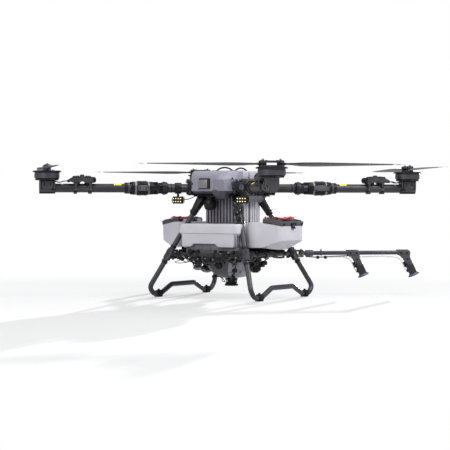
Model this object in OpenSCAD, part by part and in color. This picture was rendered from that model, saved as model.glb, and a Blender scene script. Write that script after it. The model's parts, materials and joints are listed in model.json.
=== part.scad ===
// Folding four-rotor spraying drone. Forward is -Y, its left side is +X, up is +Z.
// The origin is on the ground, under the middle of the airframe. Millimetres.

/* [Arms] */
// Distance from the centre axis to each motor axis
motor_radius = 1100; // [1060:10:1400]
// Height of the arm tube axis above the ground
arm_z = 650; // [640:5:800]
// Outer diameter of the arm tubes
arm_tube_d = 52; // [42:1:64]
// Wall of the arm tubes
arm_tube_wall = 3; // [2:0.5:5]
// Distance from the centre axis to the fold pin, along the arm
fold_radius = 450; // [420:5:520]
// Diameter of the fold pin
fold_pin_d = 12; // [8:1:14]
// Length of the locking sleeve outside the fold
sleeve_l = 120; // [100:5:160]
// Width across the flats of the locking sleeve
sleeve_w = 76; // [74:1:92]
// Length of each speed controller
esc_l = 150; // [120:5:180]

/* [Rotors] */
// Diameter swept by each propeller
prop_d = 1448; // [1200:8:1480]
// Distance between the two blade pivots of a hub
pivot_spacing = 95; // [90:1:115]
// Widest chord of a blade
blade_chord = 118; // [90:1:125]
// Diameter of a blade pivot bolt
pivot_d = 10; // [8:1:12]
// Diameter of the motor can
motor_d = 149; // [136:1:180]
// Height of the motor can
motor_can_h = 34; // [28:1:42]
// Number of notches around the fan ring
fan_notches = 24; // [12:1:30]

/* [Body] */
// Width of the centre frame
frame_w = 300; // [290:2:360]
// Height of the centre frame
frame_h = 100; // [90:2:120]
// Width of the battery packs
battery_w = 238; // [198:2:244]
// Length of each battery pack
battery_l = 110; // [92:1:112]
// Gap between the two battery packs
battery_gap = 8; // [4:1:12]
// Spacing of the battery ribs
rib_pitch = 15; // [12:1:20]

/* [Tank] */
// Width of the tank over both side lobes
tank_w = 858; // [820:4:1000]
// Length of the outer end of each tank lobe
tank_end_l = 256; // [214:2:300]
// Height of the tank floor above the ground
tank_z = 302; // [300:1:320]
// Height of the tank at its centre
tank_h = 138; // [130:1:146]
// Wall of the tank
tank_wall = 5; // [3:0.5:6]
// Thickness of the tank lids
lid_t = 28; // [22:1:34]

/* [Landing gear] */
// Diameter of the landing gear tubes
gear_tube_d = 30; // [26:1:34]
// Distance between the two skids
stance_w = 720; // [700:5:860]
// Distance between the foot pads of one skid
foot_spacing = 500; // [460:5:520]
// Height of the lower frame above the ground
lower_frame_z = 257; // [254:1:262]
// Diameter of the lower frame tubes
lower_tube_d = 24; // [20:1:26]

/* [Booms] */
// Length of a spray boom from its pivot to its outer nozzle
boom_l = 660; // [560:2:760]
// Distance from the boom pivot to its inner nozzle
boom_inner = 340; // [280:2:400]
// Diameter of the boom tube
boom_tube_d = 25; // [20:1:28]
// Diameter of the spray discs
disc_d = 71; // [59:1:86]

/* [Fits] */
// Radial gap of a running or sliding fit
fit = 0.05; // [0.02:0.01:0.08]
// Gap between neighbours that move past each other
gap = 0.4; // [0.3:0.1:0.8]

/* [Hidden] */
$fn = 48;

// Arm directions, counted anticlockwise from +X
angle_rl = 45;
angle_rr = 135;
angle_fr = 225;
angle_fl = 315;
arm_angles = [angle_rl, angle_rr, angle_fr, angle_fl];

carbon = "#3a393d";
plastic = "#27272a";
metal = "#55545b";
silver = "#8a8891";
lilac = "#9f9dac";
cream = "#c9c7ce";
red = "#e01b24";

// Centre frame and sockets
frame_front = -181;
frame_rear = 190;
frame_z0 = arm_z - frame_h / 2;
frame_z1 = arm_z + frame_h / 2;
socket_wall = 13;
socket_end = 262;
tube_start = 205;
bay_gap = 2;
battery_y0 = -100;
battery_y1 = battery_y0 + 2 * battery_l + battery_gap;
rail_w = 24;
rail_h = 33;
rail_mid = 15;
rail_holes = 110;
rail_hole_d = 5.5;

// Fold joint, measured along the arm from the centre axis
flange_d = arm_tube_d + 32;
flange_x0 = fold_radius - 55;
flange_x1 = flange_x0 + 27;
neck_d = arm_tube_d + 2;
neck_end = fold_radius + 18;
knuckle_r = fold_pin_d / 2 + 7;
fold_offset = neck_d / 2 + knuckle_r + 4;
knuckle_h = 28;
ear_h = 12;
outer_start = neck_end + 2.5;
sleeve_x0 = fold_radius + 30;
sleeve_x1 = sleeve_x0 + sleeve_l;
clamp_x0 = sleeve_x1 + 15;
clamp_l = 30;
arm_end = motor_radius - 11;
latch_pin_d = 6;
latch_l = 92;
latch_x = sleeve_x1 - 12;
latch_y = -(sleeve_w / 2 + 7);

// Motor and rotor stack, upwards
mount_l = 92;
mount_h = arm_tube_d / 2 + 20;
mount_w = arm_tube_d + 11;
mount_z = arm_z + mount_h;
base_h = 13;
can_z = mount_z + base_h + gap;
shaft_d = 16;
can_wall = 11;
ring_z = can_z + motor_can_h;
ring_h = 8.6;
ring_d = motor_d + 22;
hub_z = ring_z + ring_h;
hub_plate_h = 11.4;
hub_plate_w = 44;
blade_z = hub_z + hub_plate_h + 0.2;
blade_root_h = 12;
blade_root_d = 40;
hub_top_z = blade_z + blade_root_h + 0.2;
bolt_top_z = hub_top_z + hub_plate_h + 9;
blade_l = prop_d / 2 - pivot_spacing / 2;
blade_mid_z = blade_z + blade_root_h / 2;

// Speed controller
esc_mid = motor_radius - 205;
esc_w = 70;
esc_z0 = arm_z + arm_tube_d / 2 - 7;
esc_z1 = arm_z + arm_tube_d / 2 + 35;
esc_leg_d = arm_tube_d + 14;

// Tank
tank_top = tank_z + tank_h;
lobe_top = tank_top + 9;
lobe_x0 = 232;
lobe_x1 = tank_w / 2;
lobe_front = 200;
front_y = -240;
band_z0 = tank_z + 73;
band_z1 = tank_top - 6;
band_w = 426;
lid_x0 = lobe_x1 - 129;
lid_l = 132;
lid_w = tank_end_l + 4;
lid_tilt = 9.4;
lid_hinge_d = 6;
hatch_margin = 14;

// Landing gear
pad_floor = 5;
skid_z = pad_floor + gear_tube_d / 2;
leg_top = [120, 122, frame_z0 + 4];
leg_foot = [stance_w / 2, foot_spacing / 2 + 88, 62];
hump_z = 70;
sleeve_box = 44;
function leg_at(z) = leg_foot + (leg_top - leg_foot) * (z - leg_foot.z) / (leg_top.z - leg_foot.z);
corner = leg_at(lower_frame_z);

// Under the tank
chassis_w = 430;
tray_wall = 5;
chassis_z0 = lower_frame_z + lower_tube_d / 2;
sump_w = 300;
sump_wall = 4;
sump_low_w = 110;
sump_mid_z = 235;
sump_low_z = 115;
neck_low_z = 90;
radar_h = 24;
radar_d = 82;
pump_x = 182;
pump_d = 58;

// Booms
boom_z = lower_frame_z;
boom_root = 50;
boom_pin_d = 10;
boom_knuckle_r = 16;
nozzle_lean = 25;
nozzle_leg_l = 112;
nozzle_head_d = 50;
disc_tilt = 13;

// ---------- helpers ----------

// Solid cylinder between two points
module rod(p, q, d) {
    v = q - p;
    l = norm(v);
    translate(p) rotate([0, acos(v.z / l), atan2(v.y, v.x)]) cylinder(d = d, h = l);
}

// Cylinder along the arm direction
module along(x0, x1, d, facets = 48) {
    translate([x0, 0, arm_z]) rotate([0, 90, 0]) rotate([0, 0, 180 / facets])
        cylinder(d = d, h = x1 - x0, $fn = facets);
}

// Block given by its lowest and highest corner
module block(a, b) translate(a) cube(b - a);

// Closed solid through rings with the same number of points, each anticlockwise from above
module skin(rings) {
    n = len(rings[0]);
    m = len(rings);
    points = [for (r = rings) each r];
    walls = [for (i = [0 : m - 2], j = [0 : n - 1]) each [
        [i * n + j, (i + 1) * n + j, (i + 1) * n + (j + 1) % n],
        [i * n + j, (i + 1) * n + (j + 1) % n, i * n + (j + 1) % n]
    ]];
    bottom = [for (j = [0 : n - 1]) j];
    top = [for (j = [n - 1 : -1 : 0]) (m - 1) * n + j];
    polyhedron(points, concat(walls, [bottom], [top]), convexity = 10);
}

// One ring of a hose around a point, square to its direction
function unit(v) = v / norm(v);
function hose_ring(p, t, side, r, n) =
    let (u = unit(cross(side, t)), w = cross(t, u))
    [for (k = [0 : n - 1]) p + r * (cos(360 * k / n) * u + sin(360 * k / n) * w)];

// Smooth point on a route between its points i and i + 1
function mixed(pts, i, s) =
    let (
        n = len(pts),
        a = pts[max(i - 1, 0)],
        b = pts[i],
        c = pts[i + 1],
        d = pts[min(i + 2, n - 1)]
    )
    0.5 * (2 * b + (c - a) * s + (2 * a - 5 * b + 4 * c - d) * s * s
        + (3 * b - a - 3 * c + d) * s * s * s);
function smooth_route(pts, steps) = concat(
    [for (i = [0 : len(pts) - 2], k = [0 : steps - 1]) mixed(pts, i, k / steps)],
    [pts[len(pts) - 1]]
);

// Hose through hand-placed points
module hose(points, d, side = [0.1, 0.2, 1], steps = 3, sides = 8) {
    route = smooth_route(points, steps);
    last = len(route) - 1;
    skin([for (i = [0 : last])
        hose_ring(route[i], unit(route[min(i + 1, last)] - route[max(i - 1, 0)]), side, d / 2, sides)]);
}

// ---------- arms ----------

module hinge_ear(z0, h) {
    translate([fold_radius, fold_offset, z0]) cylinder(r = knuckle_r, h = h);
    block([fold_radius - knuckle_r, 0, z0], [fold_radius + knuckle_r, fold_offset, z0 + h]);
}

module inner_arm(a) color(carbon) rotate([0, 0, a]) {
    difference() {
        along(tube_start, flange_x0, arm_tube_d);
        along(tube_start - 1, flange_x0 - 20, arm_tube_d - 2 * arm_tube_wall);
    }
    along(flange_x0, flange_x1, flange_d);
    along(flange_x1, neck_end, neck_d);
    for (z = [arm_z + knuckle_h / 2 + gap, arm_z - knuckle_h / 2 - gap - ear_h]) hinge_ear(z, ear_h);
    translate([fold_radius, fold_offset, arm_z - knuckle_h / 2 - gap - ear_h - 4])
        cylinder(d = fold_pin_d, h = knuckle_h + 2 * (gap + ear_h + 4));
    for (s = [-1, 1]) translate([(flange_x0 + flange_x1) / 2, 0, arm_z + s * flange_d / 2 - 4])
        cylinder(d = 12, h = 8);
}

module arm(a) color(carbon) rotate([0, 0, a]) difference() {
    union() {
        along(outer_start, sleeve_x0 + 12, neck_d + 12);
        along(sleeve_x0, sleeve_x1, sleeve_w / cos(22.5), 8);
        along(sleeve_x1, clamp_x0, arm_tube_d + 6);
        along(clamp_x0, clamp_x0 + clamp_l, arm_tube_d + 14);
        along(clamp_x0, arm_end, arm_tube_d);
        translate([fold_radius, fold_offset, arm_z - knuckle_h / 2])
            cylinder(r = knuckle_r, h = knuckle_h);
        block([fold_radius, fold_offset - knuckle_r, arm_z - knuckle_h / 2],
            [sleeve_x0 + 12, fold_offset + knuckle_r, arm_z + knuckle_h / 2]);
        for (z = [14 + gap, -22 - gap])
            block([latch_x - 7, latch_y - 6, arm_z + z], [latch_x + 7, 1 - sleeve_w / 2, arm_z + z + 8]);
    }
    along(sleeve_x1 + 2, arm_end + 1, arm_tube_d - 2 * arm_tube_wall);
    translate([fold_radius, fold_offset, arm_z - knuckle_h / 2 - 1])
        cylinder(d = fold_pin_d + 2 * fit, h = knuckle_h + 2);
    translate([latch_x, latch_y, arm_z - 30]) cylinder(d = latch_pin_d + 2 * fit, h = 60);
}

module fold_latch(a) color(silver) rotate([0, 0, a]) {
    block([latch_x - latch_l, latch_y - 3, arm_z - 14], [latch_x, latch_y + 3, arm_z + 14]);
    translate([latch_x, latch_y, arm_z - 14]) cylinder(d = 11, h = 28);
    translate([latch_x, latch_y, arm_z - 24]) cylinder(d = latch_pin_d, h = 48);
    block([latch_x - latch_l, latch_y - 8, arm_z - 10], [latch_x - latch_l + 24, latch_y - 2, arm_z + 10]);
}

module esc(a) color(plastic) rotate([0, 0, a]) translate([esc_mid, 0, 0]) difference() {
    union() {
        block([-esc_l / 2, -esc_w / 2, esc_z0], [esc_l / 2, esc_w / 2, esc_z1 - 8]);
        block([8 - esc_l / 2, 5 - esc_w / 2, esc_z0], [esc_l / 2 - 8, esc_w / 2 - 5, esc_z1]);
        for (x = [-esc_l / 2 + 16, esc_l / 2 - 44]) along(x, x + 18, esc_leg_d);
        for (i = [0 : 6]) block([14 - esc_l / 2 + i * 9, -26, esc_z1 - 1], [18 - esc_l / 2 + i * 9, 26, esc_z1 + 14]);
        translate([-8, 0, esc_z1 - 1]) cylinder(d = 24, h = 25);
    }
    along(-esc_l, esc_l, arm_tube_d + 2 * fit);
    for (x = [-esc_l / 2 + 20, 2, esc_l / 2 - 24])
        for (s = [-1, 1]) block([x, s * esc_w / 2 - 2, esc_z0 + 12], [x + 14, s * esc_w / 2 + 2, esc_z0 + 26]);
}

// ---------- motors and rotors ----------

module motor(a) color(metal) rotate([0, 0, a]) difference() {
    union() {
        translate([motor_radius - mount_l / 2, 0, arm_z]) rotate([90, 0, 90]) linear_extrude(mount_l)
            polygon([
                [-mount_w / 2, mount_h], [-mount_w / 2, 4], [-mount_w * 0.38, -22],
                [-13, -arm_tube_d / 2 - 7], [13, -arm_tube_d / 2 - 7],
                [mount_w * 0.38, -22], [mount_w / 2, 4], [mount_w / 2, mount_h]
            ]);
        translate([motor_radius, 0, mount_z - 1]) cylinder(d = motor_d - 29, h = 7);
        translate([motor_radius, 0, mount_z + 5]) cylinder(d = motor_d - 11, h = base_h - 5);
        translate([motor_radius, 0, mount_z + 5])
            cylinder(d = motor_d - 2 * can_wall - 4, h = base_h + motor_can_h - 16);
    }
    along(motor_radius - mount_l, arm_end + fit, arm_tube_d + 2 * fit);
    translate([motor_radius, 0, mount_z - 12]) cylinder(d = shaft_d + 2 * fit, h = 100);
}

module rotor(a) color("#2c2b2e") rotate([0, 0, a]) translate([motor_radius, 0, 0]) {
    difference() {
        union() {
            translate([0, 0, can_z]) cylinder(d = motor_d, h = motor_can_h);
            translate([0, 0, ring_z]) cylinder(d = ring_d, h = ring_h);
        }
        translate([0, 0, can_z - 1]) cylinder(d = motor_d - 2 * can_wall, h = motor_can_h - 5);
        for (i = [0 : fan_notches - 1]) rotate([0, 0, 360 * i / fan_notches])
            translate([ring_d / 2, 0, ring_z - 1]) cylinder(d = 8, h = ring_h + 2, $fn = 12);
    }
    translate([0, 0, mount_z - 10]) cylinder(d = shaft_d, h = can_z + motor_can_h - mount_z + 10 - 2);
    for (z = [hub_z, hub_top_z]) translate([0, 0, z]) linear_extrude(hub_plate_h) {
        square([hub_plate_w - 4, pivot_spacing], center = true);
        for (s = [-1, 1]) translate([0, s * pivot_spacing / 2]) circle(d = hub_plate_w);
    }
    for (s = [-1, 1]) translate([0, s * pivot_spacing / 2, hub_z + 1]) {
        cylinder(d = pivot_d, h = bolt_top_z - hub_z - 1);
        translate([0, 0, hub_top_z + hub_plate_h - hub_z - 2]) cylinder(d = 18, h = 5, $fn = 6);
    }
}

// Blade sections from pivot to tip: part of the length, part of the chord, thickness, pitch
blade_sections = [
    [0.020, 0.25, 11.0, 0], [0.040, 0.27, 11.0, 1], [0.085, 0.42, 11.5, 8],
    [0.170, 0.76, 11.0, 11], [0.290, 1.00, 9.5, 9.5], [0.440, 0.96, 8.0, 8],
    [0.640, 0.80, 6.5, 6.5], [0.860, 0.58, 4.5, 5], [0.965, 0.42, 3.5, 4], [1.000, 0.20, 2.5, 4]
];
section_sides = 12;
lead = 0.38;

// Point k around an airfoil of the given chord and thickness, its nose towards -X
function foil(k, chord, t) =
    let (a = 360 * k / section_sides, c = cos(a))
    [chord * (0.5 - lead - 0.5 * c), t / 2 * sin(a) * (c > 0 ? 1 : 1 + 0.55 * c)];
function blade_ring(s) = [for (k = [0 : section_sides - 1])
    let (p = foil(k, s[1] * blade_chord, s[2]))
    [p[0] * cos(s[3]), s[0] * blade_l, -p[0] * sin(s[3]) + p[1] * cos(s[3])]];

// A blade at its pivot, pointing along +Y; turn is 1 or -1 for the sense of rotation
module blade_shape(turn) difference() {
    union() {
        translate([0, 0, -blade_root_h / 2]) cylinder(d = blade_root_d, h = blade_root_h);
        mirror([turn > 0 ? 0 : 1, 0, 0]) skin([for (s = blade_sections) blade_ring(s)]);
    }
    translate([0, 0, -blade_root_h]) cylinder(d = pivot_d + 2 * fit, h = 2 * blade_root_h);
}

// side is 1 for the blade on the anticlockwise side of the arm and -1 for the other
module blade(a, side, turn) color("#3b3a3e") rotate([0, 0, a])
    translate([motor_radius, side * pivot_spacing / 2, blade_mid_z])
        rotate([0, 0, side > 0 ? 0 : 180]) blade_shape(turn);

// ---------- body ----------

module centre_frame() color(plastic) difference() {
    union() {
        block([-frame_w / 2, frame_front, frame_z0], [frame_w / 2, frame_rear, frame_z1]);
        for (a = arm_angles) rotate([0, 0, a]) {
            along(150, socket_end, arm_tube_d + 2 * socket_wall);
            along(socket_end - 30, socket_end - 24, arm_tube_d + 2 * socket_wall + 8);
            along(socket_end - 8, socket_end, arm_tube_d + 2 * socket_wall + 8);
        }
        for (s = [-1, 1]) block([s * frame_w / 2 - rail_w / 2, rail_mid - 75, frame_z0 - rail_h],
            [s * frame_w / 2 + rail_w / 2, rail_mid + 75, frame_z0 + 5]);
    }
    block([-battery_w / 2 - bay_gap, battery_y0 - bay_gap, frame_z0 - 60],
        [battery_w / 2 + bay_gap, battery_y1 + bay_gap, frame_z1 + 1]);
    for (a = arm_angles) rotate([0, 0, a]) along(tube_start - 0.1, socket_end + 1, arm_tube_d + 2 * fit);
    for (y = [-1, 1]) translate([-frame_w, rail_mid + y * rail_holes / 2, frame_z0 - rail_h / 2])
        rotate([0, 90, 0]) cylinder(d = rail_hole_d, h = 2 * frame_w);
    for (x = [-frame_w / 2 + 30 : 30 : frame_w / 2 - 30])
        block([x - 8, frame_rear - 30, frame_z0 + 20], [x + 8, frame_rear + 1, frame_z1 - 20]);
}

// Outline of the front cover at one height; inset draws its front and ends in
function shell_ring(z, inset) = [for (p = [
        [-157, -108, 0], [-157, -172, 0.5], [-140, -205, 1], [-14, -205, 1], [4, -236, 1.2],
        [86, -236, 1.2], [110, -205, 1], [157, -172, 0.5], [157, -108, 0]
    ]) [p.x - sign(p.x) * inset * (abs(p.x) > 120 ? 0.6 : 0), p.y + inset * p[2], z]];

module front_shell() color(lilac) difference() {
    union() {
        difference() {
            skin([shell_ring(frame_z0 + 18, 12), shell_ring(frame_z0 + 40, 0),
                shell_ring(frame_z1 + 20, 2), shell_ring(frame_z1 + 42, 12), shell_ring(frame_z1 + 53, 34)]);
            block([-200, -300, frame_z0], [200, 0, frame_z0 + 29]);
        }
        skin([
            [[10, -190, frame_z0 - 15], [14, -222, frame_z0 - 15], [74, -222, frame_z0 - 15], [84, -190, frame_z0 - 15]],
            [[-8, -190, frame_z0 + 22], [5, -230, frame_z0 + 22], [85, -230, frame_z0 + 22], [98, -190, frame_z0 + 22]],
            [[-8, -190, frame_z0 + 50], [5, -230, frame_z0 + 50], [85, -230, frame_z0 + 50], [98, -190, frame_z0 + 50]]
        ]);
    }
    block([-130, -184, frame_z1 - 1], [130, 0, frame_z1 + 36]);
    block([-frame_w / 2, frame_front, frame_z0 - 60], [frame_w / 2, 0, frame_z1]);
    for (a = [angle_fr, angle_fl]) rotate([0, 0, a]) along(150, 400, arm_tube_d + 2 * socket_wall + 13, 12);
}

module sensor_panel() color("#6f6d68") {
    block([-112, -212, arm_z - 12], [-26, -205, arm_z + 62]);
    block([-106, -216, arm_z - 6], [-32, -211, arm_z + 56]);
}

module radar_housing() color(plastic) {
    translate([-52, -150, frame_z0 - 80]) cylinder(d = 78, h = 62, $fn = 6);
    translate([-52, -150, frame_z0 - 19]) cylinder(d = 40, h = 19);
}

module battery(y0, y1, y_handle, handle_w) {
    rib = 5;
    top_z = frame_z1 + 53;
    color(silver) {
        block([rib - battery_w / 2, y0 + rib, tank_top], [battery_w / 2 - rib, y1 - rib, top_z - 50]);
        ribs_x = floor((battery_w - 10) / rib_pitch);
        for (i = [0 : ribs_x]) {
            x = (i - ribs_x / 2) * rib_pitch;
            block([x - 4, y0, tank_top + 2], [x + 4, y1, top_z - 50]);
        }
        ribs_y = floor((y1 - y0 - 10) / rib_pitch);
        for (i = [0 : ribs_y]) {
            y = (y0 + y1) / 2 + (i - ribs_y / 2) * rib_pitch;
            block([-battery_w / 2, y - 4, tank_top + 2], [battery_w / 2, y + 4, top_z - 50]);
        }
    }
    color(cream) block([-battery_w / 2, y0, top_z - 52], [battery_w / 2, y1, top_z]);
    rise = 24;
    handle_r = (handle_w * handle_w + rise * rise) / (2 * rise);
    half_angle = asin(handle_w / handle_r);
    color(plastic) translate([0, y_handle, top_z - handle_r + rise - 4]) rotate([90, 0, 0])
        rotate([0, 0, 90 - half_angle]) rotate_extrude(angle = 2 * half_angle)
            translate([handle_r, 0]) circle(d = 10);
}

// ---------- landing gear ----------

// Signs x and y place a point of the left front leg on the other legs
function placed(p, x, y) = [p.x * x, p.y * y, p.z];

function half_skid(y) = [
    [leg_foot.x, y * leg_foot.y, leg_foot.z],
    [leg_foot.x, y * (leg_foot.y - 6), leg_foot.z - 18],
    [leg_foot.x, y * (leg_foot.y - 22), skid_z + 9],
    [leg_foot.x, y * (leg_foot.y - 42), skid_z + 1],
    [leg_foot.x, y * (leg_foot.y - 55), skid_z],
    [leg_foot.x, y * (foot_spacing / 2 - 26), skid_z],
    [leg_foot.x, y * (foot_spacing / 2 - 44), skid_z + 5],
    [leg_foot.x, y * 122, hump_z - 6],
    [leg_foot.x, y * 100, hump_z]
];

module leg_sleeve(y) {
    p = leg_at(frame_z0);
    q = leg_at(frame_z0 - 96);
    v = p - q;
    translate([q.x, y * q.y, q.z]) rotate([0, acos(v.z / norm(v)), atan2(y * v.y, v.x)])
        translate([-sleeve_box / 2, -sleeve_box / 2, 0]) cube([sleeve_box, sleeve_box, norm(v) + 60]);
}

module landing_leg(x) color(carbon) mirror([x < 0 ? 1 : 0, 0, 0]) difference() {
    union() {
        hose(concat([placed(leg_at(frame_z0 + 20), 1, -1), placed(leg_at(leg_foot.z + 24), 1, -1)],
            half_skid(-1), [for (i = [8 : -1 : 0]) half_skid(1)[i]],
            [placed(leg_at(leg_foot.z + 24), 1, 1), placed(leg_at(frame_z0 + 20), 1, 1)]),
            gear_tube_d, side = [1, 0, 0], steps = 1, sides = 16);
        for (y = [-1, 1]) {
            leg_sleeve(y);
            rod(placed(leg_at(lower_frame_z - 52), 1, y), placed(leg_at(lower_frame_z - 38), 1, y), gear_tube_d + 8);
            rod(placed(leg_at(lower_frame_z + 38), 1, y), placed(leg_at(lower_frame_z + 52), 1, y), gear_tube_d + 8);
        }
    }
    block([0, -300, frame_z0], [400, 300, frame_z0 + 200]);
    block([0, battery_y0 - bay_gap, frame_z0 - 150], [battery_w / 2 + bay_gap, battery_y1 + bay_gap, frame_z0 + 1]);
}

module foot_pads() color("#1b1b1c") for (x = [-1, 1], y = [-1, 1])
    translate([x * leg_foot.x, y * foot_spacing / 2, 0]) difference() {
        union() {
            block([-17, -20, 0], [17, 20, skid_z]);
            translate([0, -20, skid_z]) rotate([-90, 0, 0]) cylinder(d = gear_tube_d + 12, h = 40);
            block([-4, -8, skid_z], [4, 8, skid_z + gear_tube_d / 2 + 13]);
        }
        translate([0, -30, skid_z]) rotate([-90, 0, 0]) cylinder(d = gear_tube_d + 2 * fit, h = 60);
        block([-60, -60, -20], [60, 60, 0]);
    }

module lower_frame() color(carbon) difference() {
    union() {
        for (s = [-1, 1]) {
            rod([-corner.x, s * corner.y, lower_frame_z], [corner.x, s * corner.y, lower_frame_z], lower_tube_d);
            rod([s * corner.x, -corner.y, lower_frame_z], [s * corner.x, corner.y, lower_frame_z], lower_tube_d);
        }
        for (x = [-1, 1], y = [-1, 1])
            rod(placed(leg_at(lower_frame_z - 30), x, y), placed(leg_at(lower_frame_z + 30), x, y), gear_tube_d + 16);
        for (x = [-1, 1]) {
            translate([x * corner.x, corner.y, 0]) rotate([0, 0, x > 0 ? 45 : 135]) boom_socket();
            rod([x * corner.x, -60, lower_frame_z], [x * corner.x, -30, lower_frame_z], lower_tube_d + 14);
        }
        block([-chassis_w / 2, -chassis_w / 2, chassis_z0], [chassis_w / 2, chassis_w / 2, tank_z]);
        for (x = [-1, 1], y = [-120, 90])
            block([x > 0 ? 200 : -corner.x, y, lower_frame_z], [x > 0 ? corner.x : -200, y + 30, chassis_z0 + 14]);
        for (x = [-120, 90], y = [-1, 1])
            block([x, y > 0 ? 200 : -corner.y, lower_frame_z], [x + 30, y > 0 ? corner.y : -200, chassis_z0 + 14]);
    }
    for (x = [-1, 1], y = [-1, 1])
        rod(placed(leg_at(lower_frame_z - 60), x, y), placed(leg_at(lower_frame_z + 60), x, y), gear_tube_d + 2 * fit);
    block([tray_wall - chassis_w / 2, tray_wall - chassis_w / 2, chassis_z0 + tray_wall],
        [chassis_w / 2 - tray_wall, chassis_w / 2 - tray_wall, tank_z + 1]);
}

// Fixed half of a boom pivot, along +X from the corner of the lower frame
module boom_socket() difference() {
    for (z = [boom_z + 11 + gap, boom_z - 21 - gap]) {
        translate([boom_root, 0, z]) cylinder(r = boom_knuckle_r, h = 10);
        block([0, -boom_knuckle_r, z], [boom_root, boom_knuckle_r, z + 10]);
    }
    translate([boom_root, 0, boom_z - 50]) cylinder(d = boom_pin_d + 2 * fit, h = 100);
}

// ---------- tank and lids ----------

// Outline of one tank lobe, drawn in by an inset, at the heights of its outer and inner ends
function lobe_ring(z_in, z_out, inset, draw) = [for (p = [
        [lobe_x0, -158, 0], [lobe_x0 + 20, -lobe_front, 0.35], [lobe_x1, -tank_end_l / 2, 1],
        [lobe_x1, tank_end_l / 2, 1], [lobe_x0 + 20, lobe_front, 0.35], [lobe_x0, 158, 0]
    ]) [p.x - (p.x > lobe_x0 ? inset : 12) - draw * p[2], p.y - sign(p.y) * (inset + draw * 0.75 * (0.4 + p[2])),
        z_in + (z_out - z_in) * p[2]]];

module lobe_outer() skin([
    lobe_ring(tank_z - 2, tank_z - 12, 0, 62),
    lobe_ring(tank_z, tank_z + 43, 0, 0),
    lobe_ring(lobe_top, lobe_top, 0, 0)
]);

module lobe_inner() skin([
    lobe_ring(tank_z + 4, tank_z - 6, tank_wall, 62),
    lobe_ring(tank_z + 5, tank_z + 46, tank_wall, 0),
    lobe_ring(tank_top - tank_wall - 12, tank_top - tank_wall - 20, tank_wall, 0)
]);

// Frame of a lid: X runs down its slope from the hinge side, Z is square to it
module on_lid() translate([lid_x0, 0, lobe_top]) rotate([0, lid_tilt, 0]) children();

module centre_outline(inset) polygon([
    [-lobe_x0 - 2, -158 + inset], [-172 + inset, -158 + inset], [-172 + inset, front_y + inset],
    [172 - inset, front_y + inset], [172 - inset, -158 + inset], [lobe_x0 + 2, -158 + inset],
    [lobe_x0 + 2, 158 - inset], [172 - inset, 158 - inset], [172 - inset, -front_y - inset],
    [-172 + inset, -front_y - inset], [-172 + inset, 158 - inset], [-lobe_x0 - 2, 158 - inset]
]);

module tank() color(cream) difference() {
    union() {
        translate([0, 0, tank_z]) linear_extrude(tank_h) centre_outline(0);
        for (s = [0, 1]) mirror([s, 0, 0]) {
            difference() {
                lobe_outer();
                on_lid() block([0, -300, 0], [300, 300, 100]);
            }
            on_lid() for (y = [-90, 60]) {
                block([-14, y, -6], [-2, y + 30, 8]);
                translate([-8, y, 8]) rotate([-90, 0, 0]) cylinder(d = 14, h = 30);
            }
        }
        block([-band_w / 2, front_y - 12, band_z0], [band_w / 2, front_y + 9, band_z1]);
        block([-179, front_y - 6, tank_z], [179, front_y + 14, band_z0 + 5]);
    }
    translate([0, 0, tank_z + tank_wall]) linear_extrude(tank_h - 2 * tank_wall) centre_outline(tank_wall);
    for (s = [0, 1]) mirror([s, 0, 0]) {
        lobe_inner();
        on_lid() block([hatch_margin, hatch_margin - tank_end_l / 2, -40],
            [lid_l - 2 * hatch_margin, tank_end_l / 2 - hatch_margin, 10]);
        on_lid() translate([-8, -150, 8]) rotate([-90, 0, 0]) cylinder(d = lid_hinge_d + 2 * fit, h = 300);
    }
    translate([0, front_y - 20, tank_z - 1]) rotate([-90, 0, 0]) rotate([0, 0, 0]) linear_extrude(20)
        polygon([[-120, 1], [-104, -18], [44, -18], [60, 1]]);
}

module lid(s) color(plastic) mirror([s < 0 ? 1 : 0, 0, 0]) on_lid() difference() {
    union() {
        block([gap, -lid_w / 2 + 14, gap], [lid_l, lid_w / 2 - 14, lid_t]);
        block([14, -lid_w / 2, gap], [lid_l - 14, lid_w / 2, lid_t]);
        for (x = [14, lid_l - 14], y = [14 - lid_w / 2, lid_w / 2 - 14])
            translate([x, y, gap]) cylinder(r = 14 - (x < 20 ? gap : 0), h = lid_t - gap);
        translate([-8, -110, 8]) rotate([-90, 0, 0]) cylinder(d = lid_hinge_d, h = 220);
        for (y = [-110, -55, 25, 95]) block([-11, y, 5], [4, y + 15, 14]);
        for (y = [-72, 64]) block([50, y, lid_t - 1], [66, y + 8, lid_t + 14]);
        for (y = [-24, 18]) block([lid_l - 4, y, 8], [lid_l + 9, y + 6, 20]);
    }
    translate([58, -90, lid_t + 8]) rotate([-90, 0, 0]) cylinder(d = 5 + 2 * fit, h = 180);
    translate([lid_l + 5, -40, 14]) rotate([-90, 0, 0]) cylinder(d = 4 + 2 * fit, h = 80);
    block([30, -50, lid_t - 4], [108, 50, lid_t + 1]);
}

module lid_handle(s) color(red) mirror([s < 0 ? 1 : 0, 0, 0]) on_lid() {
    for (y = [-82, 74]) block([53, y, lid_t + 4], [96, y + 8, lid_t + 12]);
    block([86, -82, lid_t + 4], [98, 82, lid_t + 12]);
    for (y = [-82, 64]) translate([58, y, lid_t + 8]) rotate([-90, 0, 0]) cylinder(d = 5, h = 18);
}

module lid_latch(s) color(plastic) mirror([s < 0 ? 1 : 0, 0, 0]) on_lid() {
    block([lid_l + 2, -16, -14], [lid_l + 7, 16, 14]);
    block([lid_l + 4, -16, -14], [lid_l + 12, 16, -6]);
    translate([lid_l + 5, -24, 14]) rotate([-90, 0, 0]) cylinder(d = 4, h = 48);
    translate([lid_l + 5, -16, 14]) rotate([-90, 0, 0]) cylinder(d = 7, h = 32);
}

// ---------- under the tank ----------

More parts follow.
